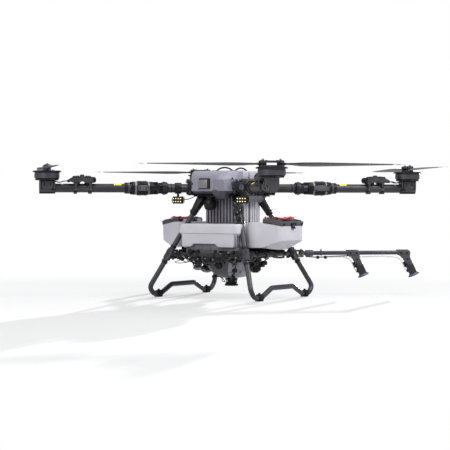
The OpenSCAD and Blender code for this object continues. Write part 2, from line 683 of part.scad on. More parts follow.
function square_ring(w, z, cut) = [for (p = [
        [-1, -1, 1, 0], [1, -1, -1, 0], [1, -1, 0, 1], [1, 1, 0, -1],
        [1, 1, -1, 0], [-1, 1, 1, 0], [-1, 1, 0, -1], [-1, -1, 0, 1]
    ]) [p.x * w / 2 + p[2] * cut, p.y * w / 2 + p[3] * cut, z]];

// The funnel, drawn in by a wall
module funnel(wall) skin([
    square_ring(sump_low_w - 2 * wall, sump_low_z + wall, 24), square_ring(sump_w - 50 - 2 * wall, sump_mid_z - 34, 50),
    square_ring(sump_w - 2 * wall, sump_mid_z, 40), square_ring(sump_w - 2 * wall, chassis_z0 - wall, 40)
]);

module sump() color(metal) {
    difference() {
        funnel(0);
        funnel(sump_wall);
    }
    translate([0, 0, neck_low_z]) cylinder(d = 52, h = sump_low_z - neck_low_z + 2);
}

module terrain_radar() color(plastic) {
    translate([0, 0, neck_low_z - radar_h]) cylinder(d = radar_d, h = 14);
    translate([0, 0, neck_low_z - 11]) cylinder(d = 60, h = 11);
}

module pumps() color(plastic) for (s = [-1, 1]) translate([s * pump_x, -s * 18, 0]) {
    translate([0, 0, 158]) cylinder(d = pump_d, h = 60);
    translate([0, 0, 210]) cylinder(d = pump_d + 8, h = 18);
    translate([0, 0, 220]) cylinder(d = 34, h = chassis_z0 - 220);
    rod([0, -s * 20, 172], [0, -s * 50, 172], 18);
}

// ---------- booms ----------

// Place of a nozzle head at a distance along the boom
module nozzle_frame(r) translate([r, 0, boom_z - 24]) rotate([0, 180 - nozzle_lean, 0]) children();

module nozzle(r) {
    block([r - 41, -19, boom_z - 24], [r + 41, 19, boom_z + 14]);
    nozzle_frame(r) {
        translate([-17, -14, -14]) cube([34, 28, nozzle_leg_l]);
        translate([0, 0, nozzle_leg_l - 32]) cylinder(d = nozzle_head_d, h = 32);
    }
}

module disc_bore(r) nozzle_frame(r) translate([0, 0, nozzle_leg_l - 22]) cylinder(d = 8 + 2 * fit, h = 60);

module boom(x) color(carbon) translate([x * corner.x, corner.y, 0]) rotate([0, 0, x > 0 ? 45 : 135])
    translate([boom_root, 0, 0]) {
        tube_from = boom_knuckle_r + 4;
        difference() {
            union() {
                translate([tube_from, 0, boom_z]) rotate([0, 90, 0])
                    cylinder(d = boom_tube_d, h = boom_l + 46 - tube_from);
                translate([0, 0, boom_z - 11]) cylinder(r = boom_knuckle_r, h = 22);
                block([0, -10, boom_z - 11], [tube_from + 6, 10, boom_z + 11]);
                translate([24, 0, boom_z]) rotate([0, 90, 0]) cylinder(d = boom_tube_d + 12, h = 50);
                for (r = [boom_inner, boom_l]) nozzle(r);
            }
            for (r = [boom_inner, boom_l]) disc_bore(r);
        }
        translate([0, 0, boom_z - 26]) cylinder(d = boom_pin_d, h = 52);
    }

module spray_disc(x, r) color(metal) translate([x * corner.x, corner.y, 0])
    rotate([0, 0, x > 0 ? 45 : 135]) translate([boom_root, 0, 0]) nozzle_frame(r) {
        translate([0, 0, nozzle_leg_l + gap]) cylinder(d1 = disc_d - 22, d2 = disc_d, h = 10);
        translate([0, 0, nozzle_leg_l + gap + 10]) cylinder(d = disc_d, h = 4);
        translate([0, 0, nozzle_leg_l - 20]) cylinder(d = 8, h = 22);
    }

// ---------- lights and hoses ----------

light_r = 325;

module work_lights() color(plastic) for (a = [angle_fr, angle_fl]) {
    rotate([0, 0, a]) difference() {
        along(light_r - 18, light_r + 18, arm_tube_d + 14);
        along(light_r - 20, light_r + 20, arm_tube_d + 2 * fit);
    }
    translate([light_r * cos(a), light_r * sin(a), 0]) {
        translate([0, 0, arm_z - 50]) cylinder(d = 14, h = 50 - arm_tube_d / 2 - 3);
        block([-32, -11, arm_z - 92], [32, 11, arm_z - 49]);
    }
}

module hoses() color(plastic) {
    for (s = [-1, 1]) {
        hose([[s * pump_x, -s * 68.8, 172], [s * pump_x, -s * 84, 172], [s * 188, -s * 112, 180],
            [s * 206, -s * 150, 214], [s * 206, -s * 186, 236], [s * 196, -s * 222, 238]], 14);
        hose([[s * 110, 190, 262], [s * 150, 205, 240], [s * 205, 216, 232], [s * 235, 222, 236]], 12);
    }
}

inner_arm(angle_rl);  // inner_arm_rl
inner_arm(angle_rr);  // inner_arm_rr
inner_arm(angle_fr);  // inner_arm_fr
inner_arm(angle_fl);  // inner_arm_fl
arm(angle_rl);  // arm_rl
arm(angle_rr);  // arm_rr
arm(angle_fr);  // arm_fr
arm(angle_fl);  // arm_fl
fold_latch(angle_rl);  // fold_latch_rl
fold_latch(angle_rr);  // fold_latch_rr
fold_latch(angle_fr);  // fold_latch_fr
fold_latch(angle_fl);  // fold_latch_fl
esc(angle_rl);  // esc_rl
esc(angle_rr);  // esc_rr
esc(angle_fr);  // esc_fr
esc(angle_fl);  // esc_fl
motor(angle_rl);  // motor_rl
motor(angle_rr);  // motor_rr
motor(angle_fr);  // motor_fr
motor(angle_fl);  // motor_fl
rotor(angle_rl);  // rotor_rl
rotor(angle_rr);  // rotor_rr
rotor(angle_fr);  // rotor_fr
rotor(angle_fl);  // rotor_fl
blade(angle_rl, 1, 1);  // blade_a_rl
blade(angle_rr, 1, -1);  // blade_a_rr
blade(angle_fr, 1, 1);  // blade_a_fr
blade(angle_fl, 1, -1);  // blade_a_fl
blade(angle_rl, -1, 1);  // blade_b_rl
blade(angle_rr, -1, -1);  // blade_b_rr
blade(angle_fr, -1, 1);  // blade_b_fr
blade(angle_fl, -1, -1);  // blade_b_fl
centre_frame();
front_shell();
sensor_panel();
radar_housing();
battery(battery_y0, battery_y0 + battery_l, battery_y0 + 25, 60);  // battery_front
battery(battery_y1 - battery_l, battery_y1, battery_y1 - 29, 47);  // battery_rear
landing_leg(1);  // landing_leg_left
landing_leg(-1);  // landing_leg_right
foot_pads();
lower_frame();
tank();
lid(1);  // lid_left
lid(-1);  // lid_right
lid_handle(1);  // lid_handle_left
lid_handle(-1);  // lid_handle_right
lid_latch(1);  // lid_latch_left
lid_latch(-1);  // lid_latch_right
sump();
terrain_radar();
pumps();
boom(1);  // boom_left
boom(-1);  // boom_right
spray_disc(1, boom_inner);  // spray_disc_left_inner
spray_disc(1, boom_l);  // spray_disc_left_outer
spray_disc(-1, boom_inner);  // spray_disc_right_inner
spray_disc(-1, boom_l);  // spray_disc_right_outer
work_lights();
hoses();
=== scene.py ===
"""Folding four-rotor spraying drone: every visible piece and finish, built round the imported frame."""

import json
import math
import random

import bmesh
import bpy
from mathutils import Matrix, Vector


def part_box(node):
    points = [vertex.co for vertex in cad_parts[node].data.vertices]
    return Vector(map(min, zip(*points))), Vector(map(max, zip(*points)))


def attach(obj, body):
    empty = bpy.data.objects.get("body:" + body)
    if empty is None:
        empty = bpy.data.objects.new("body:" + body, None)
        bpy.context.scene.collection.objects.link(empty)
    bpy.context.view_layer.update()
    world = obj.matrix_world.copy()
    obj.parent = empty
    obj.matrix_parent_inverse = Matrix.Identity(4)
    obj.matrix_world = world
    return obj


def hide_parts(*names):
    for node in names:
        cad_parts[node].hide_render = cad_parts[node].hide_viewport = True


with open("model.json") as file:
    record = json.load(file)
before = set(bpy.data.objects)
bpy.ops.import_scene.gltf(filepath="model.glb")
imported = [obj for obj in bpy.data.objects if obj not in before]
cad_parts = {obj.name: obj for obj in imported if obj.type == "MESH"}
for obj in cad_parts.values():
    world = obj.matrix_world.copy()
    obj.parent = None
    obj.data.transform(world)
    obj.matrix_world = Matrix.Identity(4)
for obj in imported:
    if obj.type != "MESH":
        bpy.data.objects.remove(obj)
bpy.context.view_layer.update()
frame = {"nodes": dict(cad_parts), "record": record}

# ---------- layout: shapes are drawn in millimetres, with the nose towards -Y ----------

MM = 0.001
ARMS = {"rl": 45, "rr": 135, "fr": 225, "fl": 315}
SIDES = {"left": 1, "right": -1}


def node_low(node):
    """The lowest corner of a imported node's box, in millimetres."""
    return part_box(node)[0] / MM


def node_high(node):
    """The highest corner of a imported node's box, in millimetres."""
    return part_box(node)[1] / MM


def node_mid(node):
    """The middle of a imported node's box, in millimetres."""
    return (node_low(node) + node_high(node)) / 2


def shift(x, y, z):
    """A move, in millimetres."""
    return Matrix.Translation((x, y, z))


def spun(axis, degrees):
    """A turn about one axis."""
    return Matrix.Rotation(math.radians(degrees), 4, axis)


# ---------- modelling helpers: a part is a bmesh in millimetres ----------


def new_part():
    """An empty part."""
    return bmesh.new()


def tint(faces, finish_number):
    """Gives faces one of the piece's finishes."""
    for face in faces:
        face.material_index = finish_number


def face_points(faces):
    """Each corner point of some faces once, in a fixed order."""
    return list(dict.fromkeys(v for f in faces for v in f.verts))


def face_edges(faces):
    """Each edge of some faces once, in a fixed order."""
    return list(dict.fromkeys(e for f in faces for e in f.edges))


def point_edges(points):
    """Each edge that meets some points once, in a fixed order."""
    return list(dict.fromkeys(e for v in points for e in v.link_edges))


def soften(bm, edges, width, steps=2):
    """Rounds the given edges."""
    sharp = [e for e in edges if e.is_valid and len(e.link_faces) == 2]
    if width > 0 and sharp:
        bmesh.ops.bevel(bm, geom=sharp, offset=width, segments=steps, profile=0.5,
                        affect="EDGES", clamp_overlap=True, material=-1)


def sharp_edges(bm, degrees=30, faces=None):
    """Edges where two faces meet at more than an angle."""
    pool = bm.edges if faces is None else face_edges(faces)
    limit = math.radians(degrees)
    return [e for e in pool if len(e.link_faces) == 2 and e.calc_face_angle(0) > limit]


def added(bm, before):
    """The faces that a part did not have before."""
    return [f for f in bm.faces if f not in before]


def put(bm, before, place):
    """Moves the newly added faces to their place."""
    if place is not None:
        bmesh.ops.transform(bm, matrix=place, verts=face_points(added(bm, before)))


def block(bm, low, high, rounding=1.0, finish=0, place=None):
    """A box between two corners with rounded edges."""
    before = set(bm.faces)
    low, high = Vector(low), Vector(high)
    size = high - low
    matrix = Matrix.Translation((low + high) / 2) @ Matrix.Diagonal((*size, 1))
    made = bmesh.ops.create_cube(bm, size=1, matrix=(place or Matrix()) @ matrix)
    soften(bm, point_edges(made["verts"]), rounding)
    tint(added(bm, before), finish)


def towards(start, end):
    """Turns +Z to the direction from start to end, placed halfway."""
    start, end = Vector(start), Vector(end)
    turn = (end - start).to_track_quat("Z", "Y").to_matrix().to_4x4()
    return Matrix.Translation((start + end) / 2) @ turn


def rod(bm, start, end, radius, tip_radius=None, sides=32, rounding=0.6, finish=0, place=None):
    """A round bar or cone between two points with rounded rims."""
    before = set(bm.faces)
    tip = radius if tip_radius is None else tip_radius
    length = (Vector(end) - Vector(start)).length
    made = bmesh.ops.create_cone(bm, cap_ends=True, cap_tris=False, segments=sides, radius1=radius,
                                 radius2=tip, depth=length, matrix=(place or Matrix()) @ towards(start, end))
    rims = [e for e in point_edges(made["verts"]) if any(len(f.verts) > 4 for f in e.link_faces)]
    soften(bm, rims, rounding)
    tint(added(bm, before), finish)


def turned(bm, profile, place=None, sides=48):
    """A lathe shape: a profile of (radius, height) points spun round Z. It is closed where radius is 0."""
    before = set(bm.faces)
    verts = [bm.verts.new((r, 0, z)) for r, z in profile]
    edges = [bm.edges.new(pair) for pair in zip(verts, verts[1:])]
    bmesh.ops.spin(bm, geom=verts + edges, cent=(0, 0, 0), axis=(0, 0, 1), dvec=(0, 0, 0),
                   angle=math.tau, steps=sides, use_merge=True, use_duplicate=False)
    bmesh.ops.remove_doubles(bm, verts=face_points(added(bm, before)), dist=0.001)
    put(bm, before, place)


def plate(bm, outline, z0, z1, rounding=1.0, place=None, steps=2):
    """A flat piece: an outline of (x, y) points raised from z0 to z1, its edges rounded."""
    before = set(bm.faces)
    base = bm.faces.new([bm.verts.new((x, y, z0)) for x, y in outline])
    grown = bmesh.ops.extrude_face_region(bm, geom=[base])
    top = [g for g in grown["geom"] if isinstance(g, bmesh.types.BMVert)]
    bmesh.ops.translate(bm, verts=top, vec=(0, 0, z1 - z0))
    base.normal_flip()
    soften(bm, face_edges(added(bm, before)), rounding, steps)
    put(bm, before, place)


def loft(bm, rings, rounding=0.0, steps=2, sharp_from=25):
    """A closed skin through rings of points, its sharp edges rounded."""
    before = set(bm.faces)
    loops = []
    for ring in rings:
        verts = [bm.verts.new(p) for p in ring]
        loops.append(verts)
        for pair in zip(verts, verts[1:] + verts[:1]):
            bm.edges.new(pair)
    for low, high in zip(loops, loops[1:]):
        edges = [bm.edges.get(pair) for loop in (low, high) for pair in zip(loop, loop[1:] + loop[:1])]
        bmesh.ops.bridge_loops(bm, edges=edges)
    for loop in (loops[0], loops[-1]):
        bm.faces.new(loop)
    faces = added(bm, before)
    bmesh.ops.recalc_face_normals(bm, faces=faces)
    soften(bm, sharp_edges(bm, sharp_from, faces), rounding, steps)


def hex_bolt(bm, place, width=8, height=4):
    """A hexagon head standing on the local XY plane, with a round washer under it."""
    rod(bm, (0, 0, 0), (0, 0, 1), width * 0.72, sides=20, rounding=0.2, place=place)
    rod(bm, (0, 0, 0.8), (0, 0, height), width * 0.56, sides=6, rounding=0.5, place=place)


def from_frame(node, rounding=0.8, sharp_from=32, steps=2):
    """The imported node's own shape as a part, merged and with softened edges."""
    bm = bmesh.new()
    bm.from_mesh(frame["nodes"][node].data)
    bmesh.ops.scale(bm, vec=(1 / MM,) * 3, verts=bm.verts)
    bmesh.ops.remove_doubles(bm, verts=bm.verts, dist=0.01)
    bmesh.ops.dissolve_limit(bm, angle_limit=math.radians(1), verts=bm.verts, edges=bm.edges)
    soften(bm, sharp_edges(bm, sharp_from), rounding, steps)
    return bm


def hang_on(made, body, stands_for):
    """Puts a finished object in the scene: its body and the nodes it stands for."""
    bpy.context.scene.collection.objects.link(made)
    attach(made, body)
    if stands_for:
        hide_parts(*stands_for)


def piece(name, bm, finishes, body, stands_for=(), place=None, smooth=35):
    """Makes the finished Blender piece: in metres, at the origin, riding on its body."""
    if place is not None:
        bmesh.ops.transform(bm, matrix=place, verts=bm.verts)
    bmesh.ops.scale(bm, vec=(MM,) * 3, verts=bm.verts)
    bmesh.ops.recalc_face_normals(bm, faces=bm.faces)
    mesh = bpy.data.meshes.new(name)
    bm.to_mesh(mesh)
    bm.free()
    mesh.shade_smooth()
    mesh.set_sharp_from_angle(angle=math.radians(smooth))
    for finish in [finishes] if isinstance(finishes, str) else finishes:
        mesh.materials.append(FINISH[finish])
    hang_on(bpy.data.objects.new(name, mesh), body, stands_for)


def bundle(name, routes, finish, body, place=None, stands_for=()):
    """Hoses or wires in one piece, each a (points, diameter) pair, held by the drone at both ends."""
    widest = max(diameter for points, diameter in routes)
    curve = bpy.data.curves.new(name, "CURVE")
    curve.dimensions = "3D"
    curve.bevel_depth = widest / 2 * MM
    curve.bevel_resolution = 3
    curve.resolution_u = 6
    curve.use_fill_caps = True
    for points, diameter in routes:
        spline = curve.splines.new("BEZIER")
        spline.bezier_points.add(len(points) - 1)
        for knot, p in zip(spline.bezier_points, points):
            knot.co = ((place or Matrix()) @ Vector(p)) * MM
            knot.handle_left_type = knot.handle_right_type = "AUTO"
            knot.radius = diameter / widest
    curve.materials.append(FINISH[finish])
    hang_on(bpy.data.objects.new(name, curve), body, stands_for)


def cable(name, points, diameter, finish, body, place=None, stands_for=()):
    """One hose or wire."""
    bundle(name, [(points, diameter)], finish, body, place, stands_for)


def slack(start, end, sway, bends, turn):
    """Points from start to end that sway round the straight line, as a slack lead does."""
    start, end = Vector(start), Vector(end)
    way = (end - start).normalized()
    side = way.orthogonal().normalized()
    other = way.cross(side)
    points = [start]
    for k in range(1, bends):
        a = turn + 2.2 * k
        points.append(start.lerp(end, k / bends) + (side * math.cos(a) + other * math.sin(a)) * sway)
    return points + [end]


# ---------- finishes ----------


def linear(r, g, b):
    """A display colour of 0 to 255 as the linear values a shader takes."""
    shares = [c / 255 for c in (r, g, b)]
    return tuple(c / 12.92 if c <= 10 / 255 else ((c + 0.055) / 1.055) ** 2.4 for c in shares) + (1.0,)


def grey(value):
    """A plain grey as the linear values a ramp takes."""
    return (value, value, value, 1)


NOISE_ROUGHNESS = 0.55
RAMP_LOW, RAMP_HIGH = 0.3, 0.7


class Finish:
    """One procedural material on Object coordinates."""

    def __init__(self, name):
        self.material = bpy.data.materials.new(name)
        self.material.use_nodes = True
        self.nodes = self.material.node_tree.nodes
        self.links = self.material.node_tree.links
        self.shader = self.nodes["Principled BSDF"]
        self.place = self.nodes.new("ShaderNodeTexCoord").outputs["Object"]

    def socket(self, name, value):
        """Sets a single value on the shader."""
        self.shader.inputs[name].default_value = value

    def turned(self, vector, degrees):
        """The coordinates turned about X, Y and Z."""
        node = self.nodes.new("ShaderNodeMapping")
        node.inputs["Rotation"].default_value = [math.radians(d) for d in degrees]
        self.links.new(vector, node.inputs["Vector"])
        return node.outputs["Vector"]

    def noise(self, size_mm, detail):
        """Cloudy noise from 0 to 1, with blotches of about the given size."""
        node = self.nodes.new("ShaderNodeTexNoise")
        node.inputs["Scale"].default_value = 1 / (size_mm * MM)
        node.inputs["Detail"].default_value = detail
        node.inputs["Roughness"].default_value = NOISE_ROUGHNESS
        self.links.new(self.place, node.inputs["Vector"])
        return node.outputs["Fac"]

    def ramp(self, source, stops, smooth=True):
        """Colours that follow a source value; each stop is a (value, colour) pair."""
        node = self.nodes.new("ShaderNodeValToRGB")
        node.color_ramp.interpolation = "EASE" if smooth else "LINEAR"
        points = node.color_ramp.elements
        while len(points) < len(stops):
            points.new(0.5)
        for point, (at, colour) in zip(points, stops):
            point.position = at
            point.color = colour
        self.links.new(source, node.inputs["Fac"])
        return node.outputs["Color"]

    def bump(self, height, strength, depth_mm):
        """Fine relief of the surface."""
        node = self.nodes.new("ShaderNodeBump")
        node.inputs["Strength"].default_value = strength
        node.inputs["Distance"].default_value = depth_mm * MM
        self.links.new(height, node.inputs["Height"])
        self.links.new(node.outputs["Normal"], self.shader.inputs["Normal"])

    def join(self, output, socket):
        """Leads an output to one of the shader's sockets."""
        self.links.new(output, self.shader.inputs[socket])

    def math(self, operation, first, second):
        """One sum of two values."""
        node = self.nodes.new("ShaderNodeMath")
        node.operation = operation
        for socket, value in zip(node.inputs, (first, second)):
            self.links.new(value, socket)
        return node.outputs[0]


def varied(rgb, amount):
    """A colour a little darker and a little lighter."""
    return [linear(*(max(0, min(255, c * f)) for c in rgb)) for f in (1 - amount, 1 + amount)]


def moulded(name, rgb, roughness=0.5, grain_mm=0.9, grain=0.12, vary=0.05, patch_mm=60, specular=0.5):
    """Moulded plastic: fine spark grain, slow tone changes and rubbed patches that shine a little more."""
    f = Finish(name)
    dark, light = varied(rgb, vary)
    f.join(f.ramp(f.noise(patch_mm, 4), [(RAMP_LOW, dark), (RAMP_HIGH, light)]), "Base Color")
    shine = [(RAMP_LOW, grey(roughness - 0.06)), (RAMP_HIGH, grey(roughness + 0.06))]
    f.join(f.ramp(f.noise(patch_mm * 0.4, 3), shine), "Roughness")
    f.bump(f.noise(grain_mm, 2), grain, 0.12)
    f.socket("Specular IOR Level", specular)
    return f.material


def metal(name, rgb, roughness=0.35, metallic=1.0, grain_mm=0.7, vary=0.06, uneven=0.09):
    """Machined or cast metal with a fine tooth and slightly uneven shine."""
    f = Finish(name)
    dark, light = varied(rgb, vary)
    f.join(f.ramp(f.noise(25, 4), [(RAMP_LOW, dark), (RAMP_HIGH, light)]), "Base Color")
    shine = [(RAMP_LOW, grey(roughness - uneven)), (RAMP_HIGH, grey(roughness + uneven))]
    f.join(f.ramp(f.noise(9, 4), shine), "Roughness")
    f.bump(f.noise(grain_mm, 3), 0.08, 0.05)
    f.socket("Metallic", metallic)
    return f.material


def carbon(name, turn=0, rgb=(44, 43, 47), tow_mm=4.2, coat=0.15):
    """Twill carbon cloth under clear resin: dark and light tows laid at 45 degrees to the tube."""
    f = Finish(name)
    bias = f.turned(f.turned(f.place, (0, 0, -turn)), (45, 0, 45))
    weave = f.nodes.new("ShaderNodeTexChecker")
    weave.inputs["Scale"].default_value = 1 / (tow_mm * MM)
    f.links.new(bias, weave.inputs["Vector"])
    dark, light = varied(rgb, 0.22)
    weave.inputs["Color1"].default_value = dark
    weave.inputs["Color2"].default_value = light
    tone = f.ramp(f.noise(70, 3), [(RAMP_LOW, grey(0.85)), (RAMP_HIGH, grey(1.1))])
    both = f.nodes.new("ShaderNodeMix")
    both.data_type = "RGBA"
    both.blend_type = "MULTIPLY"
    both.inputs[0].default_value = 1.0
    f.links.new(weave.outputs["Color"], both.inputs[6])
    f.links.new(tone, both.inputs[7])
    f.join(both.outputs[2], "Base Color")
    f.bump(weave.outputs["Fac"], 0.25, 0.05)
    f.socket("Roughness", 0.5)
    f.socket("Specular IOR Level", 0.3)
    f.socket("Coat Weight", coat)
    f.socket("Coat Roughness", 0.22)
    return f.material


def glow(name, rgb, strength):
    """A lit lamp lens."""
    f = Finish(name)
    stops = [(RAMP_LOW, linear(*rgb)), (RAMP_HIGH, linear(255, 250, 235))]
    f.join(f.ramp(f.noise(4, 2), stops), "Base Color")
    f.socket("Emission Color", linear(*rgb))
    f.socket("Emission Strength", strength)
    f.socket("Roughness", 0.2)
    return f.material


FINISH = {
    "frame_plastic": moulded("frame_plastic", (24, 24, 27), 0.5, grain_mm=1.1, vary=0.12, specular=0.25),
    "black_plastic": moulded("black_plastic", (17, 17, 19), 0.42, vary=0.15, specular=0.25),
    "lid_plastic": moulded("lid_plastic", (66, 66, 71), 0.5, grain_mm=1.4, grain=0.3, vary=0.1, specular=0.5),
    "shell_lilac": moulded("shell_lilac", (136, 134, 148), 0.5, grain_mm=1.0, vary=0.02, patch_mm=120),
    "shell_mid": moulded("shell_mid", (127, 125, 138), 0.5, grain_mm=1.0, vary=0.02, patch_mm=120),
    "shell_dark": moulded("shell_dark", (62, 60, 70), 0.5, grain_mm=1.0, vary=0.04, patch_mm=120),
    "rail_grey": moulded("rail_grey", (77, 76, 83), 0.5, vary=0.05),
    # The battery grey comes in lit and shaded copies: the darker one on the ribbed front and back faces is
    # painted shade, the lighter one on the side flutes is painted light.
    "battery_front": moulded("battery_front", (124, 122, 129), 0.42, vary=0.05),
    "battery_side_painted_light": moulded("battery_side_painted_light", (194, 192, 200), 0.42, vary=0.03),
    # Near-black core that shows in the gaps between the ribs: painted shade.
    "battery_core_painted_shade": moulded("battery_core_painted_shade", (24, 23, 27), 0.6, vary=0.05),
    "battery_top": moulded("battery_top", (176, 174, 183), 0.45, vary=0.02, patch_mm=90),
    "tank_plastic": moulded("tank_plastic", (193, 191, 198), 0.42, grain_mm=1.6, grain=0.18, vary=0.02,
                            patch_mm=140),
    "dark_metal": metal("dark_metal", (40, 39, 43), 0.42, 0.6),
    "cast_metal": metal("cast_metal", (46, 45, 50), 0.45, 0.5),
    "mount_grey": metal("mount_grey", (60, 59, 64), 0.5, 0.25),
    "can_metal": metal("can_metal", (84, 83, 90), 0.36, 0.9, grain_mm=0.5, vary=0.02, uneven=0.02),
    "silver_metal": metal("silver_metal", (118, 116, 122), 0.4, 0.6),
    "steel": metal("steel", (130, 130, 136), 0.32),
    "rubber": moulded("rubber", (15, 15, 17), 0.7, grain_mm=1.6, grain=0.5, vary=0.1, specular=0.25),
    "red_plastic": moulded("red_plastic", (206, 26, 36), 0.42, vary=0.05),
    "tip_red": moulded("tip_red", (232, 74, 34), 0.42, vary=0.04),
    "tip_white": moulded("tip_white", (214, 212, 218), 0.4, vary=0.03),
    "mark_yellow": moulded("mark_yellow", (212, 190, 40), 0.5, vary=0.04),
    "sensor_face": moulded("sensor_face", (122, 119, 122), 0.35, vary=0.05),
    "blade_carbon": carbon("blade_carbon", rgb=(40, 39, 43), tow_mm=5.0, coat=0.06),
    "gear_carbon": carbon("gear_carbon", rgb=(48, 47, 52), coat=0.3),
    "hose_dark": moulded("hose_dark", (18, 18, 20), 0.38, grain=0.1, vary=0.15, specular=0.4),
    "controller": moulded("controller", (50, 49, 54), 0.5, vary=0.08, specular=0.35),
    "hub_grey": moulded("hub_grey", (38, 37, 41), 0.42, vary=0.08, specular=0.35),
    "sump_grey": moulded("sump_grey", (72, 71, 77), 0.45, vary=0.1),
    "tray_grey": moulded("tray_grey", (104, 102, 110), 0.45, vary=0.06),
    # A lighter copy of the bowl's grey for its +X half: painted light.
    "sump_painted_light": moulded("sump_painted_light", (146, 144, 154), 0.4, vary=0.08),
    "boom_grey": moulded("boom_grey", (62, 61, 66), 0.5, vary=0.06),
    "disc_grey": moulded("disc_grey", (84, 83, 90), 0.4, vary=0.06),
    "hose_clear": moulded("hose_clear", (206, 206, 214), 0.25, grain=0.05, vary=0.03),
    "lamp": glow("lamp", (246, 236, 150), 0.95),
}
for arm, angle in ARMS.items():
    FINISH["arm_carbon_" + arm] = carbon("arm_carbon_" + arm, turn=angle)

# ---------- the drone's own sizes, in millimetres ----------

BODY_OF = {n: body for body, members in frame["record"]["behaviour"]["bodies"].items() for n in members}

# Along an arm, X runs out from the drone's middle, Y across the tube and Z up.
MOTOR_R = node_mid("rotor_fl").xy.length
ARM_Z = 650
TUBE_R = 26
CONTROLLER_X = MOTOR_R - 205
# The rotor from the bottom up: motor can, fan ring, hub.
ROTOR_TOP = node_high("rotor_fl").z
CAN_LOW = ROTOR_TOP - 88.8
CAN_HIGH = CAN_LOW + 34
RING_HIGH = CAN_HIGH + 8.6
HUB_HIGH = RING_HIGH + 35.2
CAN_R = 74.5
RING_R = 85.4
# The blades swing about pivots on either side of the shaft.
BLADE_Z = node_mid("blade_a_fl").z
PIVOT_Y = 47.5
TIP_R = 724
BLADE_SPAN = TIP_R - PIVOT_Y
BLADE_CHORD = 116
# The tubes of the lower frame and the booms lie at one height.
LOWER_Z = node_mid("lower_frame").z


def arm_turn(arm):
    """Turns +X to the way that an arm points."""
    return spun("Z", ARMS[arm])


def about_tube(degrees):
    """A turn about the arm tube's axis, with Z measured from that axis."""
    return shift(0, 0, ARM_Z) @ spun("X", degrees)


def tint_where(bm, rule):
    """Gives every face the finish number that a rule makes from its middle, in millimetres."""
    for face in bm.faces:
        face.material_index = rule(face.calc_center_median())


def along_arm(arm, point):
    """How far a point is along its arm, and how far from the arm tube's axis."""
    p = arm_turn(arm).inverted() @ point
    return p.x, math.hypot(p.y, p.z - ARM_Z)


def softened(node, finishes, rule=None, rounding=0.8, steps=2):
    """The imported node's own shape with rounded edges and its finishes."""
    bm = from_frame(node, rounding, steps=steps)
    if rule:
        tint_where(bm, rule)
    piece(node + "_shape", bm, finishes, BODY_OF[node], [node])


# ---------- arms ----------


def inner_arm(arm):
    """Fixed half of the arm: carbon tube, bolted flange, neck and the ears of the fold pin."""
    bm = from_frame("inner_arm_" + arm, 1.2)
    turn = arm_turn(arm)
    tube_end, neck_from, neck_to, neck_r, slimming = 394, 380, 446, 29, 0.62
    for vert in bm.verts:
        p = turn.inverted() @ vert.co
        r = math.hypot(p.y, p.z - ARM_Z)
        if neck_from < p.x < neck_to and r > neck_r:
            share = (neck_r + (r - neck_r) * slimming) / r
            vert.co = turn @ Vector((p.x, p.y * share, ARM_Z + (p.z - ARM_Z) * share))

    def rule(point):
        """Carbon up to the flange, metal past it."""
        x, r = along_arm(arm, point)
        return 0 if x < tube_end and r < TUBE_R + 1 else 1

    tint_where(bm, rule)
    node = "inner_arm_" + arm
    piece(node + "_shape", bm, ["arm_carbon_" + arm, "dark_metal"], "root", [node])
    bm = new_part()
    for k in range(8):
        spin = about_tube(22.5 + 45 * k)
        hex_bolt(bm, spin @ shift(395.5, 0, 32) @ spun("Y", -90), 7, 4)
        block(bm, (417, -3, 27), (442, 3, 34), 1, place=spin)
        block(bm, (402, -5, 30), (410, 5, 38), 1.5, place=spin)
    rod(bm, (384, 0, ARM_Z), (396, 0, ARM_Z), 30, sides=48, rounding=1.5)
    rod(bm, (364, 0, ARM_Z), (370, 0, ARM_Z), 28, sides=48, rounding=1)
    for z in (ARM_Z + 30, ARM_Z - 30):
        block(bm, (446, -16, z - 7), (476, 16, z + 7), 3)
    piece("fold_flange_bolts_" + arm, bm, "black_plastic", "root", place=turn)


